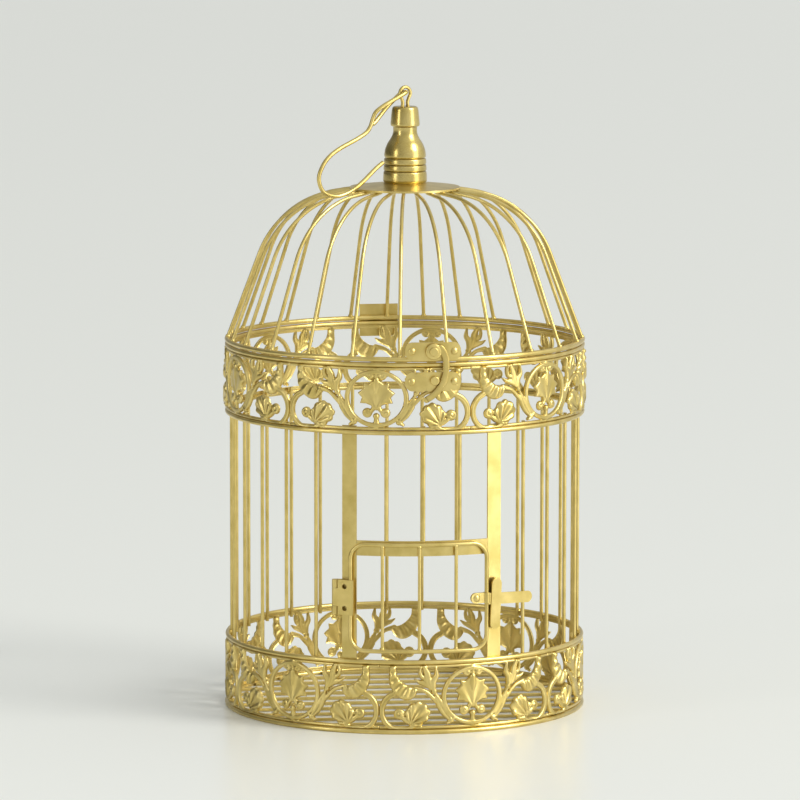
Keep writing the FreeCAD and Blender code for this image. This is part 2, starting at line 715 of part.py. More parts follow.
def disc_under(radius):
    """Height of the disc's underside, just over the ribs."""
    slope = math.tan(math.radians(RIB_TOP_SLOPE))
    rib = LID_Z + RIB_CORNER_UP + slope * (RIB_CORNER_OUT - radius)
    return rib + RIB_WIRE / 2 / math.cos(math.radians(RIB_TOP_SLOPE)) + WELD_GAP


def revolved(points):
    """Solid of revolution from a half section of radius and height points."""
    corners = [V(r, 0, z) for r, z in points]
    return Part.Face(Part.makePolygon(corners + corners[:1])).revolve(V(0, 0, 0), V(0, 0, 1), 360)


def top_disc():
    """Shallow cone over the rib ends with a flat seat for the finial."""
    seat = FINIAL_Z - WELD_GAP
    hole = SCREW_SHANK / 2 + FIXED_FIT
    section = [(hole, seat - DISC_SHEET), (FINIAL_RADIUS, seat - DISC_SHEET), (DISC_RADIUS, disc_under(DISC_RADIUS)),
               (DISC_RADIUS, disc_under(DISC_RADIUS) + DISC_SHEET), (FINIAL_RADIUS, seat), (hole, seat)]
    return revolved(section)


def finial():
    """Turned knob: grooved drum, round shoulder, neck and a wider cap."""
    drum = [V(0, 0, 0), V(FINIAL_RADIUS, 0, 0)]
    for z in GROOVE_HEIGHTS:
        wall = FINIAL_RADIUS - FINIAL_TAPER * z
        drum += [V(wall, 0, z - FINIAL_GROOVE), V(wall - FINIAL_GROOVE, 0, z), V(wall, 0, z + FINIAL_GROOVE)]
    shoulder = Part.BSplineCurve()
    shoulder.interpolate(drum[-1:] + [V(r, 0, z) for r, z in BULB])
    neck = V(BULB[-1][0], 0, BULB[-1][1])
    cap_z = FINIAL_HEIGHT - CAP_HEIGHT
    cap = [neck, V(CAP_RADIUS, 0, cap_z), V(CAP_RADIUS, 0, cap_z + CAP_EDGE),
           V(CAP_TOP_RADIUS + CAP_EDGE / 2, 0, FINIAL_HEIGHT - CAP_EDGE), V(CAP_TOP_RADIUS, 0, FINIAL_HEIGHT),
           V(0, 0, FINIAL_HEIGHT), V(0, 0, 0)]
    outline = Part.Wire(Part.makePolygon(drum).Edges + [shoulder.toShape()] + Part.makePolygon(cap).Edges)
    body = Part.Face(outline).revolve(V(0, 0, 0), V(0, 0, 1), 360)
    body.translate(V(0, 0, FINIAL_Z))
    bore = SCREW_DEPTH + WELD_GAP
    body = body.cut(Part.makeCylinder(SCREW_SHANK / 2 + FIXED_FIT, bore, V(0, 0, FINIAL_Z)))
    for side in (-1, 1):
        leg = V(side * (EYE_WIDTH - EYE_WIRE) / 2, 0, FINIAL_TOP - EYE_SEAT - WELD_GAP)
        body = body.cut(turned(Part.makeCylinder(EYE_WIRE / 2 + FIXED_FIT, 2 * EYE_SEAT, leg), -HANGER_TURN))
    return body


def finial_screw():
    under = FINIAL_Z - WELD_GAP - DISC_SHEET - WELD_GAP
    shank = Part.makeCylinder(SCREW_SHANK / 2, FINIAL_Z + SCREW_DEPTH - under, V(0, 0, under))
    head = Part.makeCylinder(SCREW_HEAD / 2, SCREW_HEAD_HEIGHT, V(0, 0, under - SCREW_HEAD_HEIGHT))
    return fused([shank, head])


def finial_eye():
    """Upturned U of wire set in the cap."""
    half = (EYE_WIDTH - EYE_WIRE) / 2
    low = FINIAL_TOP - EYE_SEAT
    high = FINIAL_TOP + EYE_RISE - EYE_WIRE / 2 - half
    arc = Part.Arc(V(-half, 0, high), V(0, 0, high + half), V(half, 0, high)).toShape()
    rise = Part.LineSegment(V(-half, 0, low), V(-half, 0, high)).toShape()
    fall = Part.LineSegment(V(half, 0, high), V(half, 0, low)).toShape()
    return turned(wire_along([rise, arc, fall], EYE_WIRE), -HANGER_TURN)


def hanger():
    """One bent wire: closed loop through the eye, long arm and round open hook."""
    lean = math.radians(HANGER_TURN)
    reach_dir = V(-math.cos(lean), math.sin(lean), 0)
    side_dir = V(math.sin(lean), math.cos(lean), 0)

    def spot(reach, drop, side=0.0):
        return V(0, 0, PIVOT_Z - drop) + reach_dir * reach + side_dir * side

    points = [spot(*LOOP_END), spot(*LOOP_LENGTH, LOOP_HALF), spot(0, 0, LOOP_HALF), spot(0, 0, -LOOP_HALF),
              spot(*LOOP_LENGTH, -LOOP_HALF)]
    points += [spot(*corner) for corner in ARM_CORNERS] + [spot(*ARM_END)]
    radii = [LOOP_CLOSE, LOOP_BEND, LOOP_BEND, ARM_BEND, *ARM_BENDS]
    return wire_along(bent_path(points, radii), HANGER_WIRE)


# Lid hinge: drawn at the pin, X along the surface, Y up, Z outward

LID_LEAF_FACE = LID_OUT + PLAY
LID_PIN_RADIUS = LID_LEAF_FACE + LID_BARREL / 2
LID_PIN_Z = (LID_Z + TOP_RING_Z) / 2
LID_PIN_FRAME = face_frame(LID_HINGE_ANGLE, LID_PIN_RADIUS, LID_PIN_Z)


def level_rod(low, high, diameter):
    return rod(V(low, 0, 0), V(high, 0, 0), diameter)


def lid_leaf(upward, spans, fit):
    """Leaf above or below the pin, with knuckles over the given spans."""
    clear = LID_BARREL / 2 + PLAY
    half = LID_HINGE_WIDTH / 2
    face = -LID_BARREL / 2
    plate = Part.makeBox(LID_HINGE_WIDTH, LID_LEAF_HEIGHT - clear, LEAF,
                         V(-half, clear if upward else -LID_LEAF_HEIGHT, face))
    pieces = [plate]
    for low, high in spans:
        start = low + KNUCKLE_GAP / 2
        width = high - low - KNUCKLE_GAP
        web = Part.makeBox(width, clear, LEAF, V(start, 0 if upward else -clear, face))
        pieces += [web, level_rod(start, start + width, LID_BARREL)]
    bore = level_rod(-LID_HINGE_WIDTH, LID_HINGE_WIDTH, LID_PIN_WIRE + 2 * fit)
    return placed(fused(pieces).cut(bore), LID_PIN_FRAME)


def lid_hinge_upper_leaf():
    edge = LID_HINGE_WIDTH / 6
    return lid_leaf(True, [(-edge, edge)], RUN_FIT)


def lid_hinge_lower_leaf():
    edge = LID_HINGE_WIDTH / 6
    half = LID_HINGE_WIDTH / 2
    return lid_leaf(False, [(-half, -edge), (edge, half)], FIXED_FIT)


def lid_hinge_pin():
    half = LID_HINGE_WIDTH / 2
    return placed(level_rod(-half, half, LID_PIN_WIRE), LID_PIN_FRAME)


# Clasp: plates follow the cage, hook turns in a flat plane in front of them

CLASP_UPPER_FACE = LID_OUT + WELD_GAP
CLASP_LOWER_FACE = max(BAND_TOP, CAGE_RADIUS + RING_WIRE / 2) + WELD_GAP
HOOK_FACE = CLASP_UPPER_FACE + CLASP_SHEET + HOOK_LIFT
HOOK_FRAME = face_frame(CLASP_ANGLE, HOOK_FACE, CLASP_UPPER_Z + PIVOT_UP)


def clasp_plate(face, low, height):
    half = math.degrees(CLASP_WIDTH / 2 / face)
    plate = curved_strip(face, CLASP_SHEET, CLASP_ANGLE - half, CLASP_ANGLE + half, low, low + height)
    edges = [edge for edge in plate.Edges
             if edge.Length < 2 * CLASP_SHEET and abs(edge.tangentAt(edge.FirstParameter).z) < 0.1]
    return plate.makeFillet(CLASP_CORNER * height, edges)


def clasp_rivet_places(face, low, height):
    turn = math.degrees(CLASP_RIVET_OUT / face)
    middle = low + height / 2
    return [face_frame(CLASP_ANGLE + side * turn, face + CLASP_SHEET, middle) for side in (-1, 1)]


UPPER_PLATE = (CLASP_UPPER_FACE, CLASP_UPPER_Z, CLASP_UPPER_HEIGHT)
LOWER_PLATE = (CLASP_LOWER_FACE, CLASP_LOWER_Z, CLASP_LOWER_HEIGHT)


def riveted_plate(plate):
    shape = clasp_plate(*plate)
    for place in clasp_rivet_places(*plate):
        shape = shape.cut(placed(rivet_hole(CLASP_SHEET), place))
    return shape


def clasp_rivets(plate, tail_height):
    shape = rivet(CLASP_SHEET, tail_height)
    return Part.makeCompound([placed(shape, place) for place in clasp_rivet_places(*plate)])


def clasp_upper_plate():
    hole = Part.makeCylinder(PIVOT_SHANK / 2 + FIXED_FIT, 6 * CLASP_SHEET, V(0, 0, -4 * CLASP_SHEET))
    return riveted_plate(UPPER_PLATE).cut(placed(hole, HOOK_FRAME))


def clasp_lower_plate():
    """Riveted plate with a raised tongue beside the knob."""
    hole = Part.makeCylinder(KNOB_RADIUS / 2 + FIXED_FIT, 6 * CLASP_SHEET, V(0, 0, -4 * CLASP_SHEET))
    tongue = rounded_bar(TONGUE_LENGTH, TONGUE_WIDTH, TONGUE_SINK + TONGUE_RISE, TONGUE_WIDTH / 2 - WELD_GAP)
    tongue.rotate(V(0, 0, 0), V(0, 0, 1), TONGUE_TILT)
    turn = math.degrees(TONGUE_OUT / CLASP_LOWER_FACE)
    seat = face_frame(CLASP_ANGLE + turn, CLASP_LOWER_FACE + CLASP_SHEET - TONGUE_SINK,
                      CLASP_UPPER_Z + PIVOT_UP - TONGUE_DROP)
    plate = riveted_plate(LOWER_PLATE).cut(placed(hole, knob_frame()))
    return fused([plate, placed(tongue, seat)])


def knob_frame():
    turn = math.degrees(KNOB_OUT / HOOK_FACE)
    drop = CLASP_UPPER_Z + PIVOT_UP - KNOB_DROP
    return face_frame(CLASP_ANGLE + turn, CLASP_LOWER_FACE + CLASP_SHEET, drop)


def clasp_knob():
    """Button on the lower plate that the hook closes round."""
    height = HOOK_FACE + HOOK_SHEET + 2 * PLAY - CLASP_LOWER_FACE - CLASP_SHEET
    button = Part.makeCylinder(KNOB_RADIUS, height, V(0, 0, WELD_GAP))
    rim = [edge for edge in button.Edges if abs(edge.CenterOfMass.z - height - WELD_GAP) < WELD_GAP]
    button = button.makeFillet(KNOB_RADIUS / 4, rim[:1])
    shank = Part.makeCylinder(KNOB_RADIUS / 2, CLASP_SHEET + WELD_GAP, V(0, 0, -CLASP_SHEET))
    return placed(fused([button, shank]), knob_frame())


def clasp_pivot():
    """Shouldered rivet that the hook turns on."""
    tail = CLASP_SHEET + HOOK_LIFT
    shank = Part.makeCylinder(PIVOT_SHANK / 2, tail + HOOK_SHEET + PLAY, V(0, 0, -tail))
    collar = Part.makeCylinder(PIVOT_HEAD / 2, HOOK_LIFT - PLAY, V(0, 0, PLAY / 2 - HOOK_LIFT))
    head_z = HOOK_SHEET + PLAY / 2
    head = Part.makeCylinder(PIVOT_HEAD / 2, PIVOT_HEAD_HEIGHT, V(0, 0, head_z))
    rim = [edge for edge in head.Edges if edge.CenterOfMass.z > head_z + PIVOT_HEAD_HEIGHT - WELD_GAP]
    return placed(fused([shank, collar, head.makeFillet(PIVOT_HEAD_HEIGHT / 2, rim[:1])]), HOOK_FRAME)


def clasp_hook():
    """Round head and an arm that curls down past the knob to a thumb tail."""
    curve = Part.BSplineCurve()
    curve.interpolate([V(x, y, 0) for x, y in HOOK_PATH])
    path = curve.toShape()
    start = path.valueAt(path.FirstParameter)
    across = V(0, 0, 1).cross(path.tangentAt(path.FirstParameter)) * (HOOK_ARM / 2)
    lift = V(0, 0, HOOK_SHEET)
    corners = [start - across, start + across, start + across + lift, start - across + lift]
    section = Part.makePolygon(corners + corners[:1])
    flat = Part.Wire(path).makePipeShell([section], True, False)
    end = Part.makeCylinder(HOOK_ARM / 2, HOOK_SHEET, path.valueAt(path.LastParameter))
    head = Part.makeCylinder(HOOK_HEAD, HOOK_SHEET)
    bore = Part.makeCylinder(PIVOT_SHANK / 2 + RUN_FIT, 3 * HOOK_SHEET, V(0, 0, -HOOK_SHEET))
    return placed(fused([head, flat, end]).cut(bore), HOOK_FRAME)


def all_parts():
    parts = {
        "base_ring": base_ring(),
        "floor_wires": floor_wires(),
        "lower_band": lower_band(),
        "lower_ring": ring(CAGE_RADIUS, RING_WIRE, LOWER_RING_Z),
        "left_post": post(-POST_ANGLE),
        "right_post": post(POST_ANGLE),
        "lintel": lintel(),
        "transom_bars": transom_bars(),
        "upper_ring": ring(CAGE_RADIUS, RING_WIRE, UPPER_RING_Z),
        "upper_band": upper_band(),
        "top_ring": ring(CAGE_RADIUS, RING_WIRE, TOP_RING_Z),
        "door_hinge_rear_leaf": door_hinge_rear_leaf(),
        "door_hinge_pin": door_hinge_pin(),
        "door_hinge_front_leaf": door_hinge_front_leaf(),
        "door_frame": door_frame(),
        "door_bars": door_bars(),
        "latch_plate": latch_plate(),
        "latch_rivet": latch_rivet(),
        "lid_ring": ring(CAGE_RADIUS, LID_WIRE, LID_Z),
        "dome_ribs": dome_ribs(),
        "top_disc": top_disc(),
        "finial": finial(),
        "finial_screw": finial_screw(),
        "finial_eye": finial_eye(),
        "hanger": hanger(),
        "lid_hinge_upper_leaf": lid_hinge_upper_leaf(),
        "lid_hinge_lower_leaf": lid_hinge_lower_leaf(),
        "lid_hinge_pin": lid_hinge_pin(),
        "clasp_upper_plate": clasp_upper_plate(),
        "clasp_upper_rivets": clasp_rivets(UPPER_PLATE, RIVET_TAIL),
        "clasp_lower_plate": clasp_lower_plate(),
        "clasp_lower_rivets": clasp_rivets(LOWER_PLATE, 0.0),
        "clasp_knob": clasp_knob(),
        "clasp_pivot": clasp_pivot(),
        "clasp_hook": clasp_hook(),
    }
    places = range(POST_PLACE + 1, BAR_COUNT - POST_PLACE)
    for number, place in enumerate(places, start=1):
        parts[f"cage_bar_{number:02d}"] = upright(place * BAR_STEP, BAR_LOW, BAR_HIGH)
    return parts


os.makedirs("parts", exist_ok=True)
for name, shape in all_parts().items():
    shape.exportStep(f"parts/{name}.step")
    print(f"{name}: {len(shape.Solids)} solids, valid {shape.isValid()}, {shape.Volume:.1f} mm3")
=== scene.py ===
"""Looks of the gold wire birdcage card box: paints, stamped filigree, welds, fittings, studio and camera."""

import bmesh
import bpy
import json
import math
import numpy as np
from mathutils import Matrix, Vector


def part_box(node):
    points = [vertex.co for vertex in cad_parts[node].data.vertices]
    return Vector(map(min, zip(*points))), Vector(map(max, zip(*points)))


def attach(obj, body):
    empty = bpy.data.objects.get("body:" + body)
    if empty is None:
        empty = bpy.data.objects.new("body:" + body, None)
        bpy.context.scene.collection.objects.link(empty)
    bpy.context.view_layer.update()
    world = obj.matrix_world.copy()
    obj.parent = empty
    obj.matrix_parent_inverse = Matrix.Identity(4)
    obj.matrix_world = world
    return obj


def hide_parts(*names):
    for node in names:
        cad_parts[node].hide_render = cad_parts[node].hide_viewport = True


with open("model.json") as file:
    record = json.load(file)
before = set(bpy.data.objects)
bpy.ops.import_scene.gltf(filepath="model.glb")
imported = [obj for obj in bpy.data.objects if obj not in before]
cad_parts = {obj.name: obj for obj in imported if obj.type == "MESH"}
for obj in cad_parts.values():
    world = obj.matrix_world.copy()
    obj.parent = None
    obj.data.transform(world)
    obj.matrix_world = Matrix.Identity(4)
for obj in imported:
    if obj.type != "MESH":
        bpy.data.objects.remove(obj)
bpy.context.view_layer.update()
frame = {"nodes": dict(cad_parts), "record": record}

MM = 0.001
RING_IN_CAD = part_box("lower_ring")
CAGE_OUT = RING_IN_CAD[1][0]
RING_WIRE = RING_IN_CAD[1][2] - RING_IN_CAD[0][2]
CAGE_RADIUS = CAGE_OUT - RING_WIRE / 2


# Paints

GOLD_DEEP = (0.54, 0.41, 0.12, 1.0)
GOLD_LIGHT = (0.72, 0.57, 0.215, 1.0)
# Painted highlight: lighter gold laid on sharp edges, where light catches.
GOLD_EDGE_HIGHLIGHT = (0.90, 0.77, 0.40, 1.0)
# Painted shade: colour multiplied into the paint in hollows and creases, where shade falls.
HOLLOW_PAINTED_SHADE = (0.30, 0.25, 0.16, 1.0)
WHITE = (1.0, 1.0, 1.0, 1.0)
CLOUD_SCALE = 90.0
CLOUD_DETAIL = 4.0
CLOUD_RANGE = (0.3, 0.7)
HOLLOW_RANGE = (0.42, 0.50)   # pointiness from a deep hollow to flat
EDGE_RANGE = (0.53, 0.64)     # pointiness from flat to a sharp edge
COAT_WEIGHT = 0.12
COAT_ROUGHNESS = 0.22
FLAKE_DETAIL = 2.0
FLAKE_DEPTH = 0.05 * MM
GLOSS_BELOW = 0.07
GLOSS_ABOVE = 0.09


def toned(colour, tone):
    """Colour made darker or lighter, and opaque."""
    return tuple(tone * part for part in colour[:3]) + (1.0,)


def noise(tree, place, scale, detail):
    """Noise over an object's own space."""
    texture = tree.nodes.new("ShaderNodeTexNoise")
    texture.inputs["Scale"].default_value = scale
    texture.inputs["Detail"].default_value = detail
    tree.links.new(place.outputs["Object"], texture.inputs["Vector"])
    return texture.outputs["Fac"]


def colour_ramp(tree, value, places, colours):
    """Colours that follow a value between two places."""
    ramp = tree.nodes.new("ShaderNodeValToRGB")
    for index in range(2):
        ramp.color_ramp.elements[index].position = places[index]
        ramp.color_ramp.elements[index].color = colours[index]
    tree.links.new(value, ramp.inputs["Fac"])
    return ramp.outputs["Color"]


def mapped(tree, value, source, target):
    """A value moved from one range to another."""
    span = tree.nodes.new("ShaderNodeMapRange")
    span.inputs["From Min"].default_value = source[0]
    span.inputs["From Max"].default_value = source[1]
    span.inputs["To Min"].default_value = target[0]
    span.inputs["To Max"].default_value = target[1]
    tree.links.new(value, span.inputs["Value"])
    return span.outputs["Result"]


def pigment_colour(tree, place, tone):
    """Clouds between the deep and the light gold."""
    clouds = noise(tree, place, CLOUD_SCALE, CLOUD_DETAIL)
    return colour_ramp(tree, clouds, CLOUD_RANGE, (toned(GOLD_DEEP, tone), toned(GOLD_LIGHT, tone)))


def shaded_highlit_colour(tree, pigment, edge_highlight):
    """Pigment with painted shade in hollows and a painted highlight on sharp edges."""
    pointiness = tree.nodes.new("ShaderNodeNewGeometry").outputs["Pointiness"]
    # Painted shade: the pigment is darkened in hollows, found by pointiness.
    painted_hollow_shade = colour_ramp(tree, pointiness, HOLLOW_RANGE, (HOLLOW_PAINTED_SHADE, WHITE))
    shade = tree.nodes.new("ShaderNodeMix")
    shade.data_type = "RGBA"
    shade.blend_type = "MULTIPLY"
    shade.inputs["Factor"].default_value = 1.0
    tree.links.new(pigment, shade.inputs["A"])
    tree.links.new(painted_hollow_shade, shade.inputs["B"])
    # Painted highlight: the colour is lightened on sharp edges, found by pointiness.
    edge_lit = tree.nodes.new("ShaderNodeMix")
    edge_lit.data_type = "RGBA"
    edge_lit.inputs["B"].default_value = GOLD_EDGE_HIGHLIGHT
    tree.links.new(mapped(tree, pointiness, EDGE_RANGE, (0.0, edge_highlight)), edge_lit.inputs["Factor"])
    tree.links.new(shade.outputs["Result"], edge_lit.inputs["A"])
    return edge_lit.outputs["Result"]


def flake_normal(tree, flake, depth):
    """Fine bumps of the paint's flake."""
    bump = tree.nodes.new("ShaderNodeBump")
    bump.inputs["Strength"].default_value = depth
    bump.inputs["Distance"].default_value = FLAKE_DEPTH
    tree.links.new(flake, bump.inputs["Height"])
    return bump.outputs["Normal"]


def gold_paint(name, roughness, grain, grain_depth, edge_highlight=0.0, tone=1.0):
    """Satin metallic gold paint: pigment clouds, fine flake, painted shade in hollows, painted highlight on
    sharp edges.
    """
    material = bpy.data.materials.new(name)
    material.use_nodes = True
    tree = material.node_tree
    shader = tree.nodes["Principled BSDF"]
    shader.inputs["Metallic"].default_value = 1.0
    shader.inputs["Coat Weight"].default_value = COAT_WEIGHT
    shader.inputs["Coat Roughness"].default_value = COAT_ROUGHNESS
    place = tree.nodes.new("ShaderNodeTexCoord")
    pigment = pigment_colour(tree, place, tone)
    tree.links.new(shaded_highlit_colour(tree, pigment, edge_highlight), shader.inputs["Base Color"])
    flake = noise(tree, place, grain, FLAKE_DETAIL)
    gloss = mapped(tree, flake, (0.0, 1.0), (roughness - GLOSS_BELOW, roughness + GLOSS_ABOVE))
    tree.links.new(gloss, shader.inputs["Roughness"])
    tree.links.new(flake_normal(tree, flake, grain_depth), shader.inputs["Normal"])
    return material


WIRE_PAINT = gold_paint("gold_wire_paint", roughness=0.30, grain=2600.0, grain_depth=0.35)
STAMPED_PAINT = gold_paint("gold_stamped_paint", roughness=0.32, grain=2200.0, grain_depth=0.40)
# The filigree's sharp edges get a painted highlight.
FILIGREE_PAINT = gold_paint("gold_filigree_paint", roughness=0.31, grain=2200.0, grain_depth=0.40, edge_highlight=0.5)
# tone 0.86 makes the finial's paint a darker copy of the same gold: painted shade.
FINIAL_PAINT = gold_paint("gold_finial_paint", roughness=0.25, grain=2600.0, grain_depth=0.45, tone=0.86)
FITTING_PAINT = gold_paint("gold_fitting_paint", roughness=0.33, grain=2400.0, grain_depth=0.40)
PAINT_OF_SLOT = {
    "gold_wire": WIRE_PAINT,
    "gold_stamped": STAMPED_PAINT,
    "gold_finial": FINIAL_PAINT,
    "gold_fittings": FITTING_PAINT,
}


def paint_frame():
    """Give every carried-over node the paint of its slot."""
    slot_of = {row["node"]: row["material_slot"] for row in frame["record"]["subparts"]}
    for name, piece in frame["nodes"].items():
        piece.data.materials.clear()
        piece.data.materials.append(PAINT_OF_SLOT[slot_of[name]])


paint_frame()


# Filigree: one unit drawn flat in millimetres, u along the band from the cartouche, v up.
# Radii are in millimetres, and rises are shares of the stamp's depth.

UNITS = 6
DRAWN_HALF = 56.08
DRAWN_HEIGHT = 38.4
GRID = 0.42
GRID_MARGIN = 3
SHEET = 0.9
EDGE_ROUND = 0.7
STAMP_DEPTH = 1.3
OUTSIDE = -9.0        # outline field where nothing is drawn
FAR = 99.0
TINY = 1e-12
GROOVE_WIDTH = 0.28   # share of a stroke's radius
ARC_STEP = 14.0
ARC_LEAST = 6
ARC_GROOVE = 0.25
VOLUTE_TURNS = 1.35
VOLUTE_DOME = 0.75
VOLUTE_GROOVE = 0.22
LEAF_SMOOTH = 6
RIM_LOW = 2.0
RIM_HIGH = 1.9
RIM_RISE = 0.25
RIM_SOFT = 0.6
END_PLAY = 0.02
PANEL_INSET = 0.5 * MM
FRONT_EDGE = 0.35     # front face at the outline, as a share of the sheet
BACK_EDGE = 0.15
BACK_RISE = 0.55      # stamp's depth on the back, as a share of the front's
LOWER_BAND_ANGLE = 16.0
UPPER_BAND_ANGLE = -15.0


def spline(points, steps=10, closed=False):
    """Smooth line through points."""
    line = np.array(points, float)
    if closed:
        line = np.vstack([line[-1], line, line[:2]])
    else:
        line = np.vstack([2 * line[0] - line[1], line, 2 * line[-1] - line[-2]])
    t = np.linspace(0, 1, steps, endpoint=False)[:, None]
    out = []
    for a, b, c, d in zip(line, line[1:], line[2:], line[3:]):
        out.append(0.5 * (2 * b + (c - a) * t + (2 * a - 5 * b + 4 * c - d) * t ** 2
                          + (3 * b - a - 3 * c + d) * t ** 3))
    if not closed:
        out.append(line[-2:-1])
    return np.vstack(out)


def segment_distance(u, v, start, end):
    """Distance to a segment, and the share along it of the nearest point."""
    run = end - start
    share = ((u - start[0]) * run[0] + (v - start[1]) * run[1]) / max(run @ run, TINY)
    share = np.clip(share, 0, 1)
    return np.hypot(u - start[0] - share * run[0], v - start[1] - share * run[1]), share


class Relief:
    """Outline field (positive inside, in mm) and stamped height over a flat grid."""

    def __init__(self, u, v):
        self.u = u
        self.v = v
        self.inside = np.full(u.shape, OUTSIDE)
        self.height = np.zeros(u.shape)

    def add(self, depth, height):
        """Join a form, given by its depth inside its edge and its height."""
        self.inside = np.maximum(self.inside, depth)
        self.height = np.maximum(self.height, np.where(depth > 0, height, 0))

    def stroke(self, points, radii, rise, groove=0.0):
        """Rounded stroke with a radius at each point, and a groove down its middle."""
        count = len(points)
        line = spline(points)
        size = np.interp(np.linspace(0, count - 1, len(line)), range(count), radii)
        depth = np.full(self.u.shape, OUTSIDE)
        share = np.zeros(self.u.shape)
        for index in range(len(line) - 1):
            gap, along = segment_distance(self.u, self.v, line[index], line[index + 1])
            radius = size[index] + (size[index + 1] - size[index]) * along
            better = radius - gap > depth
            depth = np.where(better, radius - gap, depth)
            share = np.where(better, np.clip(1 - gap / radius, 0, 1), share)
        crown = np.sqrt(np.clip(1 - (1 - share) ** 2, 0, 1))
        dip = groove * np.exp(-((1 - share) / GROOVE_WIDTH) ** 2)
        self.add(depth, rise * (crown - dip))

    def arc(self, centre, radius, start, stop, radii, rise, stretch=(1.0, 1.0)):
        """Stroke along part of a circle or ellipse, angles in degrees."""
        steps = max(ARC_LEAST, int(abs(stop - start) / ARC_STEP))
        points = []
        for angle in np.radians(np.linspace(start, stop, steps)):
            points.append((centre[0] + radius * stretch[0] * math.cos(angle),
                           centre[1] + radius * stretch[1] * math.sin(angle)))
        sizes = np.interp(np.linspace(0, len(radii) - 1, steps), range(len(radii)), radii)
        self.stroke(points, sizes, rise, ARC_GROOVE)

    def ball(self, centre, radius, rise):
        """Round boss."""
        gap = np.hypot(self.u - centre[0], self.v - centre[1])
        share = np.clip(gap / radius, 0, 1)
        self.add(radius - gap, rise * np.sqrt(1 - share ** 2))

    def volute(self, centre, radius, rise, turn):
        """Small curled end: a ball with a spiral groove."""
        du = self.u - centre[0]
        dv = self.v - centre[1]
        gap = np.hypot(du, dv)
        share = np.clip(gap / radius, 0, 1)
        spiral = np.cos(2 * np.pi * VOLUTE_TURNS * share - turn * np.arctan2(dv, du))
        dome = VOLUTE_DOME * np.sqrt(1 - share ** 2)
        self.add(radius - gap, rise * (dome + VOLUTE_GROOVE * spiral * (1 - share)))

    def outline_depth(self, outline):
        """Signed depth inside a closed outline."""
        depth = np.full(self.u.shape, FAR)
        crossings = np.zeros(self.u.shape, int)
        for start, end in zip(outline, np.roll(outline, -1, axis=0)):
            gap, _ = segment_distance(self.u, self.v, start, end)
            depth = np.minimum(depth, gap)
            above = (start[1] > self.v) != (end[1] > self.v)
            rise = end[1] - start[1] if end[1] != start[1] else TINY
            left = self.u < start[0] + (self.v - start[1]) * (end[0] - start[0]) / rise
            crossings += above & left
        return np.where(crossings % 2 == 1, depth, -depth)

    def leaf(self, outline, rise, swell, ripple):
        """Domed outline with ripples such as veins or flutes."""
        depth = self.outline_depth(outline)
        share = np.clip(depth / swell, 0, 1)
        crown = np.sqrt(1 - (1 - share) ** 2)
        self.add(depth, rise * crown * (1 + ripple))


def fan(relief, centre, count, strength, start=0.0):
    """Ripples that radiate from a point."""
    angle = np.arctan2(relief.v - centre[1], relief.u - centre[0]) - math.radians(start)
    return strength * np.cos(count * angle)


def scalloped(outline, count, depth):
    """Closed outline with its edge pushed out into rounded lobes."""
    middle = outline.mean(axis=0)
    wave = np.abs(np.sin(np.linspace(0, count * math.pi, len(outline), endpoint=False)))
    away = outline - middle
    return outline + away / np.linalg.norm(away, axis=1)[:, None] * (depth * (wave - 0.5))[:, None]


def draw_cartouche(relief):
    """Oval frame with a scalloped shield, curls and drops."""
    relief.arc((0.0, 19.3), 1.0, -90, 90, [1.5, 1.35, 1.5, 1.5, 1.35, 1.5], 1.0, (17.7, 16.3))
    half = [(0.0, 31.8), (2.4, 30.2), (4.6, 28.3), (7.9, 28.9), (7.5, 25.6), (11.2, 22.6), (8.7, 19.9),
            (9.8, 16.4), (6.2, 16.2), (3.2, 15.0), (2.4, 13.2), (0.0, 12.0)]
    outline = np.array(half + [(-u, v) for u, v in half[-2:0:-1]])
    relief.leaf(outline, 0.75, 1.1, fan(relief, (0.0, 12.0), 10.0, 0.16, 90.0))
    relief.stroke([(0.0, 30.4), (0.0, 27.0), (0.0, 23.0)], [2.0, 2.4, 0.8], 1.25)
    relief.volute((3.5, 33.2), 2.7, 1.2, 1)
    relief.volute((5.4, 10.6), 3.0, 1.2, -1)
    relief.stroke([(1.2, 14.2), (2.6, 12.0), (4.2, 10.0)], [1.6, 1.2, 1.2], 0.8)
    relief.ball((0.0, 8.6), 2.0, 1.1)
    relief.stroke([(0.0, 8.6), (0.0, 5.6), (0.0, 2.6)], [1.3, 1.6, 2.0], 0.7)
    relief.stroke([(0.0, 31.0), (0.0, 34.0), (0.0, 36.0)], [1.6, 1.2, 2.2], 0.6)


def draw_stems(relief):
    """Sheath beside the cartouche, forked to the bud and the horn, with a tied foot."""
    relief.stroke([(13.6, 5.2), (17.2, 9.6), (20.0, 14.6), (21.8, 19.0)], [1.4, 2.4, 2.7, 1.5], 0.95, 0.35)
    relief.stroke([(19.6, 13.6), (24.0, 18.2), (28.8, 22.6), (35.0, 24.6)], [1.5, 1.4, 1.25, 1.6], 0.85, 0.2)
    relief.stroke([(20.6, 17.0), (22.4, 20.4), (23.6, 22.6)], [1.2, 1.1, 1.2], 0.8)
    relief.ball((13.4, 5.0), 1.9, 1.1)
    relief.stroke([(11.4, 7.0), (13.4, 5.0), (15.8, 3.4)], [1.0, 1.2, 1.0], 1.0)


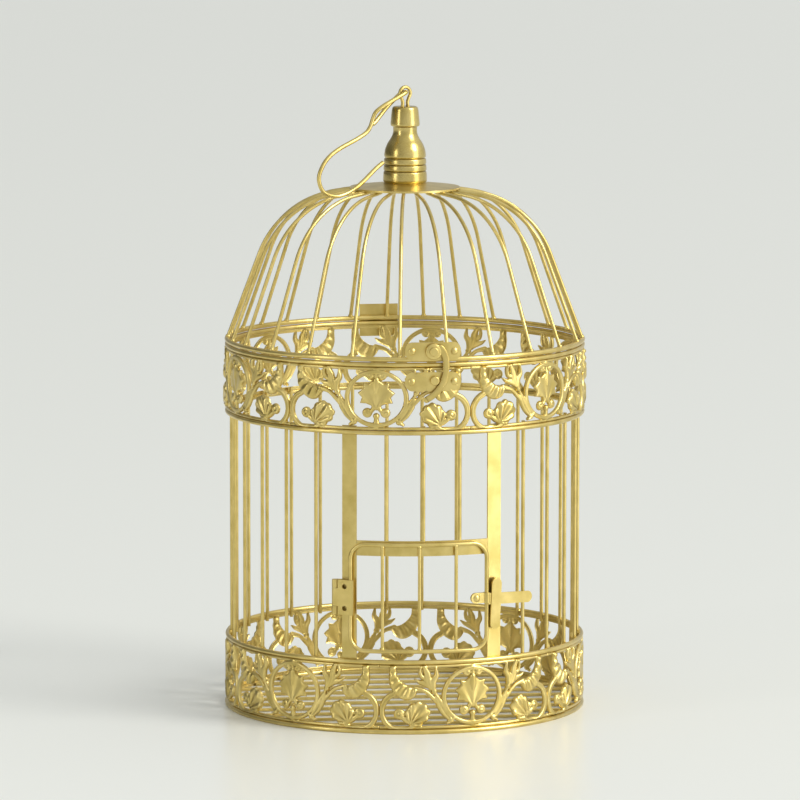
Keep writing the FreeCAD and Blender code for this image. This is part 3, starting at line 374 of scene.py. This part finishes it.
def draw_bud(relief):
    """Tulip bud: knob, two petals and a side leaf."""
    relief.ball((23.7, 22.7), 1.9, 1.0)
    relief.stroke([(24.2, 24.4), (24.2, 28.6), (22.2, 32.0), (22.6, 36.6)], [1.8, 2.2, 1.6, 0.7], 1.0)
    relief.stroke([(25.6, 24.8), (27.4, 29.0), (27.8, 33.0), (29.6, 37.2)], [1.6, 2.6, 2.2, 1.3], 1.15, 0.2)
    relief.stroke([(26.6, 25.4), (29.6, 27.4), (32.4, 28.2), (35.2, 30.0)], [1.4, 1.9, 1.3, 0.4], 0.95)
    relief.stroke([(28.2, 30.0), (31.0, 31.4), (32.0, 34.6), (31.4, 37.2)], [1.2, 1.5, 1.1, 0.8], 0.9)


def draw_horn(relief):
    """Fluted horn that hangs from the upper rim and rolls into the scroll."""
    edge = [(46.2, 37.8), (49.8, 37.8), (50.4, 33.0), (50.4, 28.0), (48.6, 23.2), (45.2, 19.2), (40.6, 17.2),
            (36.4, 18.2), (33.6, 21.6), (33.4, 24.4), (38.8, 26.0), (42.8, 28.8), (45.4, 32.6)]
    horn = spline(edge, LEAF_SMOOTH, True)
    flutes = fan(relief, (33.0, 36.5), 22.0, 0.28)
    relief.leaf(horn, 1.3, 3.6, flutes)


def draw_scroll(relief):
    """Round scroll from the horn's belly to the lower rim, with its inner curl."""
    relief.arc((43.2, 10.6), 11.3, 66, -132, [1.9, 1.9, 1.7, 1.7, 1.6, 1.5], 0.95)
    relief.volute((44.2, 9.0), 3.4, 1.3, 1)
    relief.stroke([(42.0, 6.6), (39.4, 5.0), (36.0, 3.6)], [1.5, 1.9, 2.0], 0.9)


def draw_leaf(relief):
    """Veined shell leaf that fills the open side of the scroll."""
    edge = [(37.6, 2.2), (41.0, 6.6), (40.2, 11.6), (36.8, 15.4), (32.4, 16.6), (28.4, 14.6), (25.8, 10.6),
            (27.0, 6.2), (30.4, 3.0), (34.0, 1.2)]
    leaf = spline(edge, LEAF_SMOOTH, True)
    lobes = fan(relief, (37.6, 3.4), 11.0, 0.30, 100.0)
    relief.leaf(scalloped(leaf, 9, 0.9), 1.25, 3.2, lobes)


def draw_rims(relief):
    """Flat strips along both edges, joined at the ends of the panel."""
    for depth in (RIM_LOW - relief.v, relief.v - (DRAWN_HEIGHT - RIM_HIGH)):
        relief.add(depth, RIM_RISE * np.clip(depth / RIM_SOFT, 0, 1))


def unit_relief(u, v):
    """Relief of one whole unit, mirrored about the cartouche."""
    relief = Relief(np.abs(u), v)
    draw_rims(relief)
    draw_cartouche(relief)
    draw_stems(relief)
    draw_bud(relief)
    draw_horn(relief)
    draw_scroll(relief)
    draw_leaf(relief)
    edge = np.minimum(DRAWN_HALF - np.abs(u), np.minimum(v, DRAWN_HEIGHT - v)) + END_PLAY
    relief.inside = np.minimum(relief.inside, edge)
    return relief


class PanelCut:
    """Cells of a relief grid that lie inside its outline, cut where the outline passes."""

    def __init__(self, relief, us, vs):
        self.relief = relief
        self.us = us
        self.vs = vs
        self.points = []
        self.faces = []
        self.walls = []
        self.index_of = {}

    def vertex(self, key, spot):
        """Number of a point, which is made at its first use."""
        if key not in self.index_of:
            self.index_of[key] = len(self.points)
            self.points.append(spot)
        return self.index_of[key]

    def corner(self, place):
        """Vertex at a grid place, with its height and depth inside the outline."""
        u = self.us[place[0]]
        v = self.vs[place[1]]
        return self.vertex(place, (u, v, self.relief.height[place], self.relief.inside[place]))

    def crossing(self, a, b):
        """Vertex where the outline passes between two grid places."""
        inside = self.relief.inside
        share = inside[a] / (inside[a] - inside[b])
        u = self.us[a[0]] + share * (self.us[b[0]] - self.us[a[0]])
        v = self.vs[a[1]] + share * (self.vs[b[1]] - self.vs[a[1]])
        return self.vertex((min(a, b), max(a, b)), (u, v, 0.0, 0.0))

    def add_cell(self, i, j):
        """Face of one cell, and the edges along the outline."""
        cell = [(i, j), (i + 1, j), (i + 1, j + 1), (i, j + 1)]
        signs = [self.relief.inside[place] > 0 for place in cell]
        if not any(signs):
            return
        loop = []
        leaving = []
        for a, b, here, there in zip(cell, cell[1:] + cell[:1], signs, signs[1:] + signs[:1]):
            if here:
                loop.append(self.corner(a))
            if here and not there:
                leaving.append(len(loop))
            if here != there:
                loop.append(self.crossing(a, b))
        self.faces.append(loop)
        self.walls += [(loop[place], loop[(place + 1) % len(loop)]) for place in leaving]


def panel_mesh(name):
    """Stamped panel as a closed mesh of unit height: front relief, hollow back and rounded edges."""
    columns = 2 * int(DRAWN_HALF / GRID) + GRID_MARGIN
    rows = int(DRAWN_HEIGHT / GRID) + GRID_MARGIN
    us = np.linspace(-DRAWN_HALF - GRID, DRAWN_HALF + GRID, columns)
    vs = np.linspace(-GRID, DRAWN_HEIGHT + GRID, rows)
    cut = PanelCut(unit_relief(*np.meshgrid(us, vs, indexing="ij")), us, vs)
    for i in range(columns - 1):
        for j in range(rows - 1):
            cut.add_cell(i, j)
    return build_panel(name, np.array(cut.points), cut.faces, cut.walls)


def build_panel(name, points, faces, walls):
    """Bend the flat panel round the cage and close it with a back and edge walls."""
    lift = np.sqrt(1 - (1 - np.clip(points[:, 3] / EDGE_ROUND, 0, 1)) ** 2)
    rise = STAMP_DEPTH * points[:, 2] * lift
    front = FRONT_EDGE * SHEET + (1 - FRONT_EDGE) * SHEET * lift + rise
    back = BACK_EDGE * SHEET * (1 - lift) + BACK_RISE * rise
    angle = points[:, 0] / DRAWN_HALF * math.pi / UNITS
    inner = CAGE_RADIUS - PANEL_INSET

    def bent(height):
        radius = inner + height * MM
        share = points[:, 1] / DRAWN_HEIGHT
        return np.stack([radius * np.sin(angle), -radius * np.cos(angle), share], axis=1)

    count = len(points)
    vertices = np.vstack([bent(front), bent(back)])
    polygons = [list(loop) for loop in faces]
    polygons += [[index + count for index in reversed(loop)] for loop in faces]
    polygons += [[b, a, a + count, b + count] for a, b in walls]
    mesh = bpy.data.meshes.new(name)
    mesh.from_pydata(vertices.tolist(), [], polygons)
    mesh.validate()
    mesh.shade_smooth()
    mesh.materials.append(FILIGREE_PAINT)
    return mesh


def stretched(mesh, name, low, high):
    """Copy of a unit-height panel set between two heights."""
    copy = mesh.copy()
    copy.name = name
    for point in copy.vertices:
        point.co.z = low + point.co.z * (high - low)
    return copy


def add_band(flat, node, angle):
    """Six panels of one band, in place of its node."""
    low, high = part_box(node)
    mesh = stretched(flat, node + "_panel", low[2], high[2])
    for index in range(UNITS):
        turn = math.radians(angle) + index * 2 * math.pi / UNITS
        piece = bpy.data.objects.new(f"{node}_panel_{index + 1}", mesh.copy())
        for point in piece.data.vertices:
            x, y = point.co.x, point.co.y
            point.co.x = x * math.cos(turn) - y * math.sin(turn)
            point.co.y = x * math.sin(turn) + y * math.cos(turn)
        bpy.context.scene.collection.objects.link(piece)
        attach(piece, "cage")
        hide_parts(node)


FLAT_PANEL = panel_mesh("filigree_panel")
add_band(FLAT_PANEL, "lower_band", LOWER_BAND_ANGLE)
add_band(FLAT_PANEL, "upper_band", UPPER_BAND_ANGLE)


# Weld beads

RIB_FRONT = 10
RIB_FRONT_STEP = 15.3
RIB_REAR = 17
RIB_FOOT_INSET = 0.5 * MM
DOOR_BAR_ANGLES = (-13.0, -1.3, 10.4)
DOOR_BAR_OUT = 0.15 * MM
BAR_BEAD = 1.45 * MM
RIB_BEAD = 1.55 * MM
DOOR_BEAD = 1.3 * MM
BEAD_ROUNDS = 2
SHARP_ANGLE = math.radians(55.0)


def middle_of(node):
    """Middle of a node's box."""
    low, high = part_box(node)
    return (Vector(low) + Vector(high)) / 2


def around(radius, angle, height):
    """Point at an angle in degrees from the front."""
    turn = math.radians(angle)
    return Vector((radius * math.sin(turn), -radius * math.cos(turn), height))


def add_piece(name, shape, paint, body, node=None):
    """Smooth object from a finished shape, riding on a body, in place of a node where one is named."""
    bmesh.ops.recalc_face_normals(shape, faces=shape.faces)
    mesh = bpy.data.meshes.new(name)
    shape.to_mesh(mesh)
    shape.free()
    mesh.shade_smooth()
    mesh.set_sharp_from_angle(angle=SHARP_ANGLE)
    mesh.materials.append(paint)
    piece = bpy.data.objects.new(name, mesh)
    bpy.context.scene.collection.objects.link(piece)
    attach(piece, body)
    if node:
        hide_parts(node)


def add_beads(name, body, spots, radius):
    """Small weld beads as one mesh that rides on a body."""
    shape = bmesh.new()
    for spot in spots:
        place = Matrix.Translation(spot)
        bmesh.ops.create_icosphere(shape, subdivisions=BEAD_ROUNDS, radius=radius, matrix=place)
    add_piece(name, shape, WIRE_PAINT, body)


def bar_spots():
    """Where the upright wires touch the insides of the two cage rings."""
    touch = CAGE_RADIUS - RING_WIRE / 2
    heights = [middle_of(node).z for node in ("lower_ring", "upper_ring")]
    spots = []
    for name in frame["nodes"]:
        if name.startswith("cage_bar"):
            side = middle_of(name)
            side.z = 0.0
            spots += [side.normalized() * touch + Vector((0, 0, height)) for height in heights]
    return spots


def rib_spots():
    """Feet of the dome ribs on the lid ring."""
    front = [(index - (RIB_FRONT - 1) / 2) * RIB_FRONT_STEP for index in range(RIB_FRONT)]
    gap = (360.0 - (front[-1] - front[0])) / (RIB_REAR + 1)
    angles = front + [front[-1] + gap * (index + 1) for index in range(RIB_REAR)]
    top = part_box("lid_ring")[1][2]
    return [around(CAGE_RADIUS - RIB_FOOT_INSET, angle, top) for angle in angles]


def door_spots():
    """Ends of the door's bars."""
    low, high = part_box("door_bars")
    radius = CAGE_RADIUS + DOOR_BAR_OUT
    return [around(radius, angle, end[2]) for angle in DOOR_BAR_ANGLES for end in (low, high)]


add_beads("bar_welds", "cage", bar_spots(), BAR_BEAD)
add_beads("rib_welds", "lid", rib_spots(), RIB_BEAD)
add_beads("door_bar_welds", "door", door_spots(), DOOR_BEAD)


# Turned and bent fittings, in millimetres; a smooth value is the number of steps between drawn points

LATHE_STEPS = 96
SWEEP_STEPS = 24
FLARE_STEPS = 16
TIP_STEPS = 17
MERGE = 0.001
ROUND = 1.0           # power of a round section
UP = Vector((0.0, 0.0, 1.0))

FINIAL_FOOT = 12.4
FINIAL_RINGS = ((0.5, 7.2), (7.2, 11.0), (11.0, 14.8))
RING_STEPS = 13
RING_ROOT = 12.6
RING_SWELL = 0.75
RING_POWER = 4
FINIAL_TAPER = 0.05
FINIAL_BULB = ((11.9, 14.9), (12.5, 16.0), (12.4, 18.0), (11.9, 20.4), (10.6, 23.6), (8.9, 26.3), (7.6, 28.9),
               (7.2, 31.2), (7.3, 33.6))
FINIAL_CAP = ((7.4, 33.7), (8.4, 34.2), (8.75, 34.9), (8.65, 37.0), (8.35, 40.5), (7.95, 43.8), (7.5, 45.2),
              (6.8, 45.8), (6.0, 45.9))
BULB_SMOOTH = 8
CAP_SMOOTH = 6

EYE_FOOT = ((-2.3, -3.0), (-2.1, -0.4), (-1.7, 2.3))
EYE_HEIGHT = 7.8
EYE_RADIUS = 3.75
EYE_OPEN = (222.0, -42.0)
EYE_STEPS = 13
EYE_SMOOTH = 4
EYE_WIRE = 2.1

# Reach from the eye, drop below it and offset across, from the tucked-in end to the open end
HANGER_PATH = ((22.6, 18.6, 0.9), (19.8, 16.6, 1.5), (16.4, 13.6, 2.2), (11.0, 8.6, 2.75), (4.0, 3.0, 2.9),
               (0.8, 0.4, 2.3), (0.0, 0.0, 0.0), (0.9, 0.2, -2.3), (4.5, 1.6, -2.9), (11.5, 4.8, -2.6),
               (17.6, 8.0, -1.8), (21.6, 11.2, -0.8), (23.2, 15.0, -0.1), (25.0, 19.6, 0.0),
               (28.0, 23.2, 0.0), (35.1, 26.9, 0.0), (47.2, 32.0, 0.0), (54.6, 36.6, 0.0), (59.6, 42.6, 0.0),
               (61.8, 49.8, 0.0), (58.3, 57.3, 0.0), (49.4, 60.3, 0.0), (39.5, 58.0, 0.0), (30.8, 52.8, 0.0),
               (21.4, 45.3, 0.0), (15.8, 41.6, 0.0))
HANGER_SMOOTH = 7
HANGER_WIRE = 2.5

LATCH_LEAN = math.radians(13.43)   # plate turned in towards the cage's bar
LATCH_TILT = math.radians(3.4)     # plate turned in its own plane
LATCH_HALF = 3.1
SLEEVE_IN = 1.31
SLEEVE_OUT = 2.11
TAB_REACH = (-1.5, -10.5)
TAB_FACES = (-0.8, 0.8)
FINGER_SPOT = (5.7, -3.6)
FINGER_TALL = 15.25
FINGER_HALF = 3.7
FINGER_FACES = (SLEEVE_IN, 2.3)
STEM_REACH = (0.0, 34.0)
STEM_HALF = 3.4
STEM_DROP = -0.6
STEM_FACES = (SLEEVE_IN, 1.95)

HOOK_PATH = ((2.6, 1.5), (4.4, 1.2), (6.9, -3.2), (7.4, -10.2), (6.2, -16.6), (3.2, -22.2), (-0.4, -25.8),
             (-4.2, -28.2))
HOOK_SMOOTH = 8
HOOK_SHEET = 1.5
HOOK_BORE = 1.56
HOOK_HEAD = ((HOOK_BORE, 0.0), (4.3, 0.0), (4.7, 0.25), (4.8, 0.75), (4.65, 1.2), (4.2, HOOK_SHEET),
             (HOOK_BORE, HOOK_SHEET), (HOOK_BORE, 0.0))
HOOK_HALF = 1.9
HOOK_FLARE = 0.45
HOOK_SQUARE = 0.7     # power of the arm's flatter section
TAIL_ROUNDS = 3


def bridge(shape, rings):
    """Faces between neighbouring rings, with triangles where a ring is one point."""
    for below, above in zip(rings, rings[1:]):
        for index in range(max(len(below), len(above))):
            corners = (below[index % len(below)], below[(index + 1) % len(below)],
                       above[(index + 1) % len(above)], above[index % len(above)])
            shape.faces.new(list(dict.fromkeys(corners)))


def lathe(shape, profile, foot, up):
    """Turn a half section, in mm, about an axis that starts at a point."""
    side = up.orthogonal().normalized()
    other = up.cross(side)
    rings = []
    for radius, height in profile:
        middle = foot + up * height * MM
        turns = [2 * math.pi * step / LATHE_STEPS for step in range(LATHE_STEPS if radius else 1)]
        rings.append([shape.verts.new(middle + (side * math.cos(turn) + other * math.sin(turn)) * radius * MM)
                      for turn in turns])
    bridge(shape, rings)
    bmesh.ops.remove_doubles(shape, verts=shape.verts, dist=MERGE * MM)


def sweep(shape, line, up, wide, thick, square, flare=0.0):
    """Rounded bar along a line, flared at its start; a lower square gives a flatter section."""
    rings = []
    for index, spot in enumerate(line):
        ahead = (line[min(index + 1, len(line) - 1)] - line[max(index - 1, 0)]).normalized()
        side = up.cross(ahead).normalized()
        up = ahead.cross(side)
        half = wide * (1 + flare * max(0.0, 1 - index / FLARE_STEPS))
        ring = []
        for step in range(SWEEP_STEPS):
            across = math.cos(2 * math.pi * step / SWEEP_STEPS)
            rise = math.sin(2 * math.pi * step / SWEEP_STEPS)
            offset = (side * math.copysign(abs(across) ** square, across) * half
                      + up * math.copysign(abs(rise) ** square, rise) * thick)
            ring.append(shape.verts.new(spot + offset))
        rings.append(ring)
    bridge(shape, rings)
    shape.faces.new(rings[0])
    shape.faces.new(rings[-1])


def finial_profile():
    """Half section of the finial: rounded rings, bulb, neck and cap."""
    points = [(0.0, 0.0), (FINIAL_FOOT, 0.0)]
    for low, high in FINIAL_RINGS:
        for share in np.linspace(0, 1, RING_STEPS):
            height = low + share * (high - low)
            swell = math.sqrt(1 - (2 * share - 1) ** RING_POWER)
            points.append((RING_ROOT - FINIAL_TAPER * height + RING_SWELL * swell, height))
    points += spline(FINIAL_BULB, BULB_SMOOTH).tolist()
    points += spline(FINIAL_CAP, CAP_SMOOTH).tolist()
    return points + [(0.0, FINIAL_CAP[-1][1])]


def add_finial():
    """Turned finial on the top disc."""
    shape = bmesh.new()
    foot = middle_of("finial")
    foot.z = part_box("finial")[0][2]
    lathe(shape, finial_profile(), foot, UP)
    add_piece("turned_finial", shape, FINIAL_PAINT, "lid", "finial")


def joint_line(name):
    """Point and direction of a joint's axis."""
    joint = next(row for row in frame["record"]["behaviour"]["joints"] if row["name"] == name)
    return Vector(joint["pos_m"]), Vector(joint["axis"]).normalized()


def eye_line():
    """Ring on two close legs, across and up from the finial's top."""
    turns = np.radians(np.linspace(*EYE_OPEN, EYE_STEPS))
    ring = [(EYE_RADIUS * math.cos(turn), EYE_HEIGHT + EYE_RADIUS * math.sin(turn)) for turn in turns]
    legs = [(-x, y) for x, y in reversed(EYE_FOOT)]
    return spline([*EYE_FOOT, *ring, *legs], EYE_SMOOTH)


def add_hanger():
    """Ring eye, and the bent wire that hangs in it."""
    pivot, across = joint_line("hanger_swing")
    if across.y < 0:
        across = -across
    reach = Vector((-across.y, across.x, 0.0))
    top = Vector((pivot.x, pivot.y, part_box("finial")[1][2]))
    line = [top + (reach * x + UP * y) * MM for x, y in eye_line()]
    eye = bmesh.new()
    sweep(eye, line, across, EYE_WIRE / 2 * MM, EYE_WIRE / 2 * MM, ROUND)
    add_piece("ring_eye", eye, WIRE_PAINT, "lid", "finial_eye")
    path = spline(HANGER_PATH, HANGER_SMOOTH)
    line = [pivot + (reach * out - UP * drop + across * side) * MM for out, drop, side in path]
    wire = bmesh.new()
    sweep(wire, line, across, HANGER_WIRE / 2 * MM, HANGER_WIRE / 2 * MM, ROUND)
    add_piece("hanger_wire", wire, WIRE_PAINT, "hanger", "hanger")


def round_tip(end, way, half):
    """Half circle that ends a bar, from its lower to its upper edge."""
    turns = np.linspace(-math.pi / 2, math.pi / 2, TIP_STEPS)
    return [(end + way * half * (math.cos(turn) - 1), half * math.sin(turn)) for turn in turns]


def tongue(root, end, half):
    """Outline with a straight root and a round end."""
    return [(root, half), (root, -half), *round_tip(end, math.copysign(1.0, end - root), half)]


def slab(shape, outline, origin, along, across, faces):
    """Flat plate between two depths over its plane."""
    normal = along.cross(across)
    walls = [[shape.verts.new(origin + (along * x + across * y + normal * depth) * MM) for x, y in outline]
             for depth in faces]
    shape.faces.new(walls[0])
    shape.faces.new(walls[1])
    bridge(shape, walls)


def finger_outline():
    """Upright bar with two round ends, across and up from its middle."""
    bar = round_tip(FINGER_TALL, 1.0, FINGER_HALF) + round_tip(-FINGER_TALL, -1.0, FINGER_HALF)[::-1]
    return [(-y, x) for x, y in bar]


def add_latch():
    """Sleeve on the door's wire with a riveted tab, a finger bar and a round-ended stem."""
    pivot = joint_line("latch_turn")[0]
    out = Vector((pivot.x, pivot.y, 0.0)).normalized()
    side = UP.cross(out)
    level = side * math.cos(LATCH_LEAN) - out * math.sin(LATCH_LEAN)
    along = level * math.cos(LATCH_TILT) - UP * math.sin(LATCH_TILT)
    rise = UP * math.cos(LATCH_TILT) + level * math.sin(LATCH_TILT)
    sleeve = [(SLEEVE_IN, -LATCH_HALF), (SLEEVE_OUT, -LATCH_HALF), (SLEEVE_OUT, LATCH_HALF),
              (SLEEVE_IN, LATCH_HALF), (SLEEVE_IN, -LATCH_HALF)]
    shape = bmesh.new()
    lathe(shape, sleeve, pivot, UP)
    slab(shape, tongue(*TAB_REACH, LATCH_HALF), pivot, side, UP, TAB_FACES)
    slab(shape, tongue(*STEM_REACH, STEM_HALF), pivot + rise * STEM_DROP * MM, along, rise, STEM_FACES)
    middle = pivot + (along * FINGER_SPOT[0] + rise * FINGER_SPOT[1]) * MM
    slab(shape, finger_outline(), middle, along, rise, FINGER_FACES)
    add_piece("latch_bar", shape, FITTING_PAINT, "door_latch", "latch_plate")


def add_clasp_hook():
    """Rounded arm with a thumb tail, and a head bored for the pivot."""
    pivot, out = joint_line("clasp_turn")
    side = Vector((-out.y, out.x, 0.0)).normalized()
    core = pivot + out * HOOK_SHEET / 2 * MM
    line = [core + side * x * MM + UP * y * MM for x, y in spline(HOOK_PATH, HOOK_SMOOTH)]
    shape = bmesh.new()
    sweep(shape, line, out, HOOK_HALF * MM, HOOK_SHEET / 2 * MM, HOOK_SQUARE, HOOK_FLARE)
    add_piece("clasp_hook_arm", shape, FITTING_PAINT, "clasp_hook", "clasp_hook")
    head = bmesh.new()
    lathe(head, HOOK_HEAD, pivot, out)
    add_piece("clasp_hook_head", head, FITTING_PAINT, "clasp_hook")
    tail = bmesh.new()
    squash = Matrix.Diagonal((HOOK_HALF * MM, HOOK_SHEET / 2 * MM, HOOK_HALF * MM, 1.0))
    place = Matrix.Translation(line[-1]) @ squash
    bmesh.ops.create_icosphere(tail, subdivisions=TAIL_ROUNDS, radius=1.0, matrix=place)
    add_piece("clasp_hook_tail", tail, FITTING_PAINT, "clasp_hook")


add_finial()
add_hanger()
add_latch()
add_clasp_hook()


# Studio: lengths in metres, the sensor in millimetres, angles in radians

TURN = math.radians(-6.0)
CAMERA_DISTANCE = 3.4928
CAMERA_HEIGHT = 0.6403
CAMERA_SIDE = -0.0034
CAMERA_PITCH = 0.1297
CAMERA_ROLL = -0.0012
FOCAL_PIXELS = 5835.3
PHOTO_PIXELS = 800.0
SENSOR = 36.0
FLOOR_REACH = 40.0
FLOOR_COLOUR = (0.80, 0.81, 0.77, 1.0)
FLOOR_ROUGHNESS = 0.28
DAYLIGHT = (1.0, 0.985, 0.95)
SUN_POWER = 1.9
SUN_SPREAD = math.radians(24.0)
SUN_FROM = (1.0, -0.60, 0.78)
AMBIENT_COLOUR = (0.95, 0.97, 0.96, 1.0)
AMBIENT_BRIGHT_SIDE = (0.80, -0.33, 0.50)
AMBIENT_DIM = 0.04
AMBIENT_BRIGHT = 1.12
LIT_SPOT = (0.0, 0.0, 0.18)
WINDOW_SPOT = (1.55, -1.0, 0.45)
WINDOW_SIZE = (0.7, 1.0)
WINDOW_POWER = 5.5
STRIP_SPOT = (-1.6, -0.95, 0.7)
STRIP_SIZE = (0.3, 1.0)
STRIP_POWER = 5.0


def add_camera():
    """Camera fitted to the photo."""
    data = bpy.data.cameras.new("camera")
    data.sensor_width = SENSOR
    data.lens = FOCAL_PIXELS * SENSOR / PHOTO_PIXELS
    camera = bpy.data.objects.new("camera", data)
    side = Vector((math.cos(TURN), math.sin(TURN), 0.0))
    back = Vector((math.sin(TURN), -math.cos(TURN), 0.0))
    camera.location = back * CAMERA_DISTANCE + side * CAMERA_SIDE + Vector((0, 0, CAMERA_HEIGHT))
    camera.rotation_euler = (math.pi / 2 - CAMERA_PITCH, CAMERA_ROLL, TURN)
    bpy.context.scene.collection.objects.link(camera)
    bpy.context.scene.camera = camera


def add_floor():
    """Pale polished floor."""
    mesh = bpy.data.meshes.new("floor")
    reach = FLOOR_REACH
    corners = [(-reach, -reach, 0), (reach, -reach, 0), (reach, reach, 0), (-reach, reach, 0)]
    mesh.from_pydata(corners, [], [(0, 1, 2, 3)])
    floor = bpy.data.objects.new("floor", mesh)
    material = bpy.data.materials.new("floor_white")
    material.use_nodes = True
    shader = material.node_tree.nodes["Principled BSDF"]
    shader.inputs["Base Color"].default_value = FLOOR_COLOUR
    shader.inputs["Roughness"].default_value = FLOOR_ROUGHNESS
    mesh.materials.append(material)
    bpy.context.scene.collection.objects.link(floor)


def add_softbox(name, spot, target, size, power, colour=(1.0, 1.0, 1.0)):
    """Rectangle of light that faces a spot."""
    data = bpy.data.lights.new(name, "AREA")
    data.shape = "RECTANGLE"
    data.size = size[0]
    data.size_y = size[1]
    data.energy = power
    data.color = colour
    lamp = bpy.data.objects.new(name, data)
    lamp.location = spot
    lamp.rotation_euler = (Vector(target) - Vector(spot)).to_track_quat("-Z", "Y").to_euler()
    bpy.context.scene.collection.objects.link(lamp)


def add_sun():
    """Broad daylight from the right."""
    data = bpy.data.lights.new("daylight", "SUN")
    data.energy = SUN_POWER
    data.angle = SUN_SPREAD
    data.color = DAYLIGHT
    lamp = bpy.data.objects.new("daylight", data)
    lamp.rotation_euler = (-Vector(SUN_FROM)).to_track_quat("-Z", "Y").to_euler()
    bpy.context.scene.collection.objects.link(lamp)


def add_world():
    """Soft light from all around, brighter from the right and above."""
    world = bpy.data.worlds.new("studio")
    world.use_nodes = True
    tree = world.node_tree
    background = tree.nodes["Background"]
    background.inputs["Color"].default_value = AMBIENT_COLOUR
    place = tree.nodes.new("ShaderNodeTexCoord")
    facing = tree.nodes.new("ShaderNodeVectorMath")
    facing.operation = "DOT_PRODUCT"
    facing.inputs[1].default_value = AMBIENT_BRIGHT_SIDE
    tree.links.new(place.outputs["Generated"], facing.inputs[0])
    level = mapped(tree, facing.outputs["Value"], (-1.0, 1.0), (AMBIENT_DIM, AMBIENT_BRIGHT))
    tree.links.new(level, background.inputs["Strength"])
    bpy.context.scene.world = world


add_camera()
add_floor()
add_world()
add_sun()
add_softbox("window", WINDOW_SPOT, LIT_SPOT, WINDOW_SIZE, WINDOW_POWER, DAYLIGHT)
add_softbox("left_strip", STRIP_SPOT, LIT_SPOT, STRIP_SIZE, STRIP_POWER)
bpy.context.scene.view_settings.view_transform = "Standard"
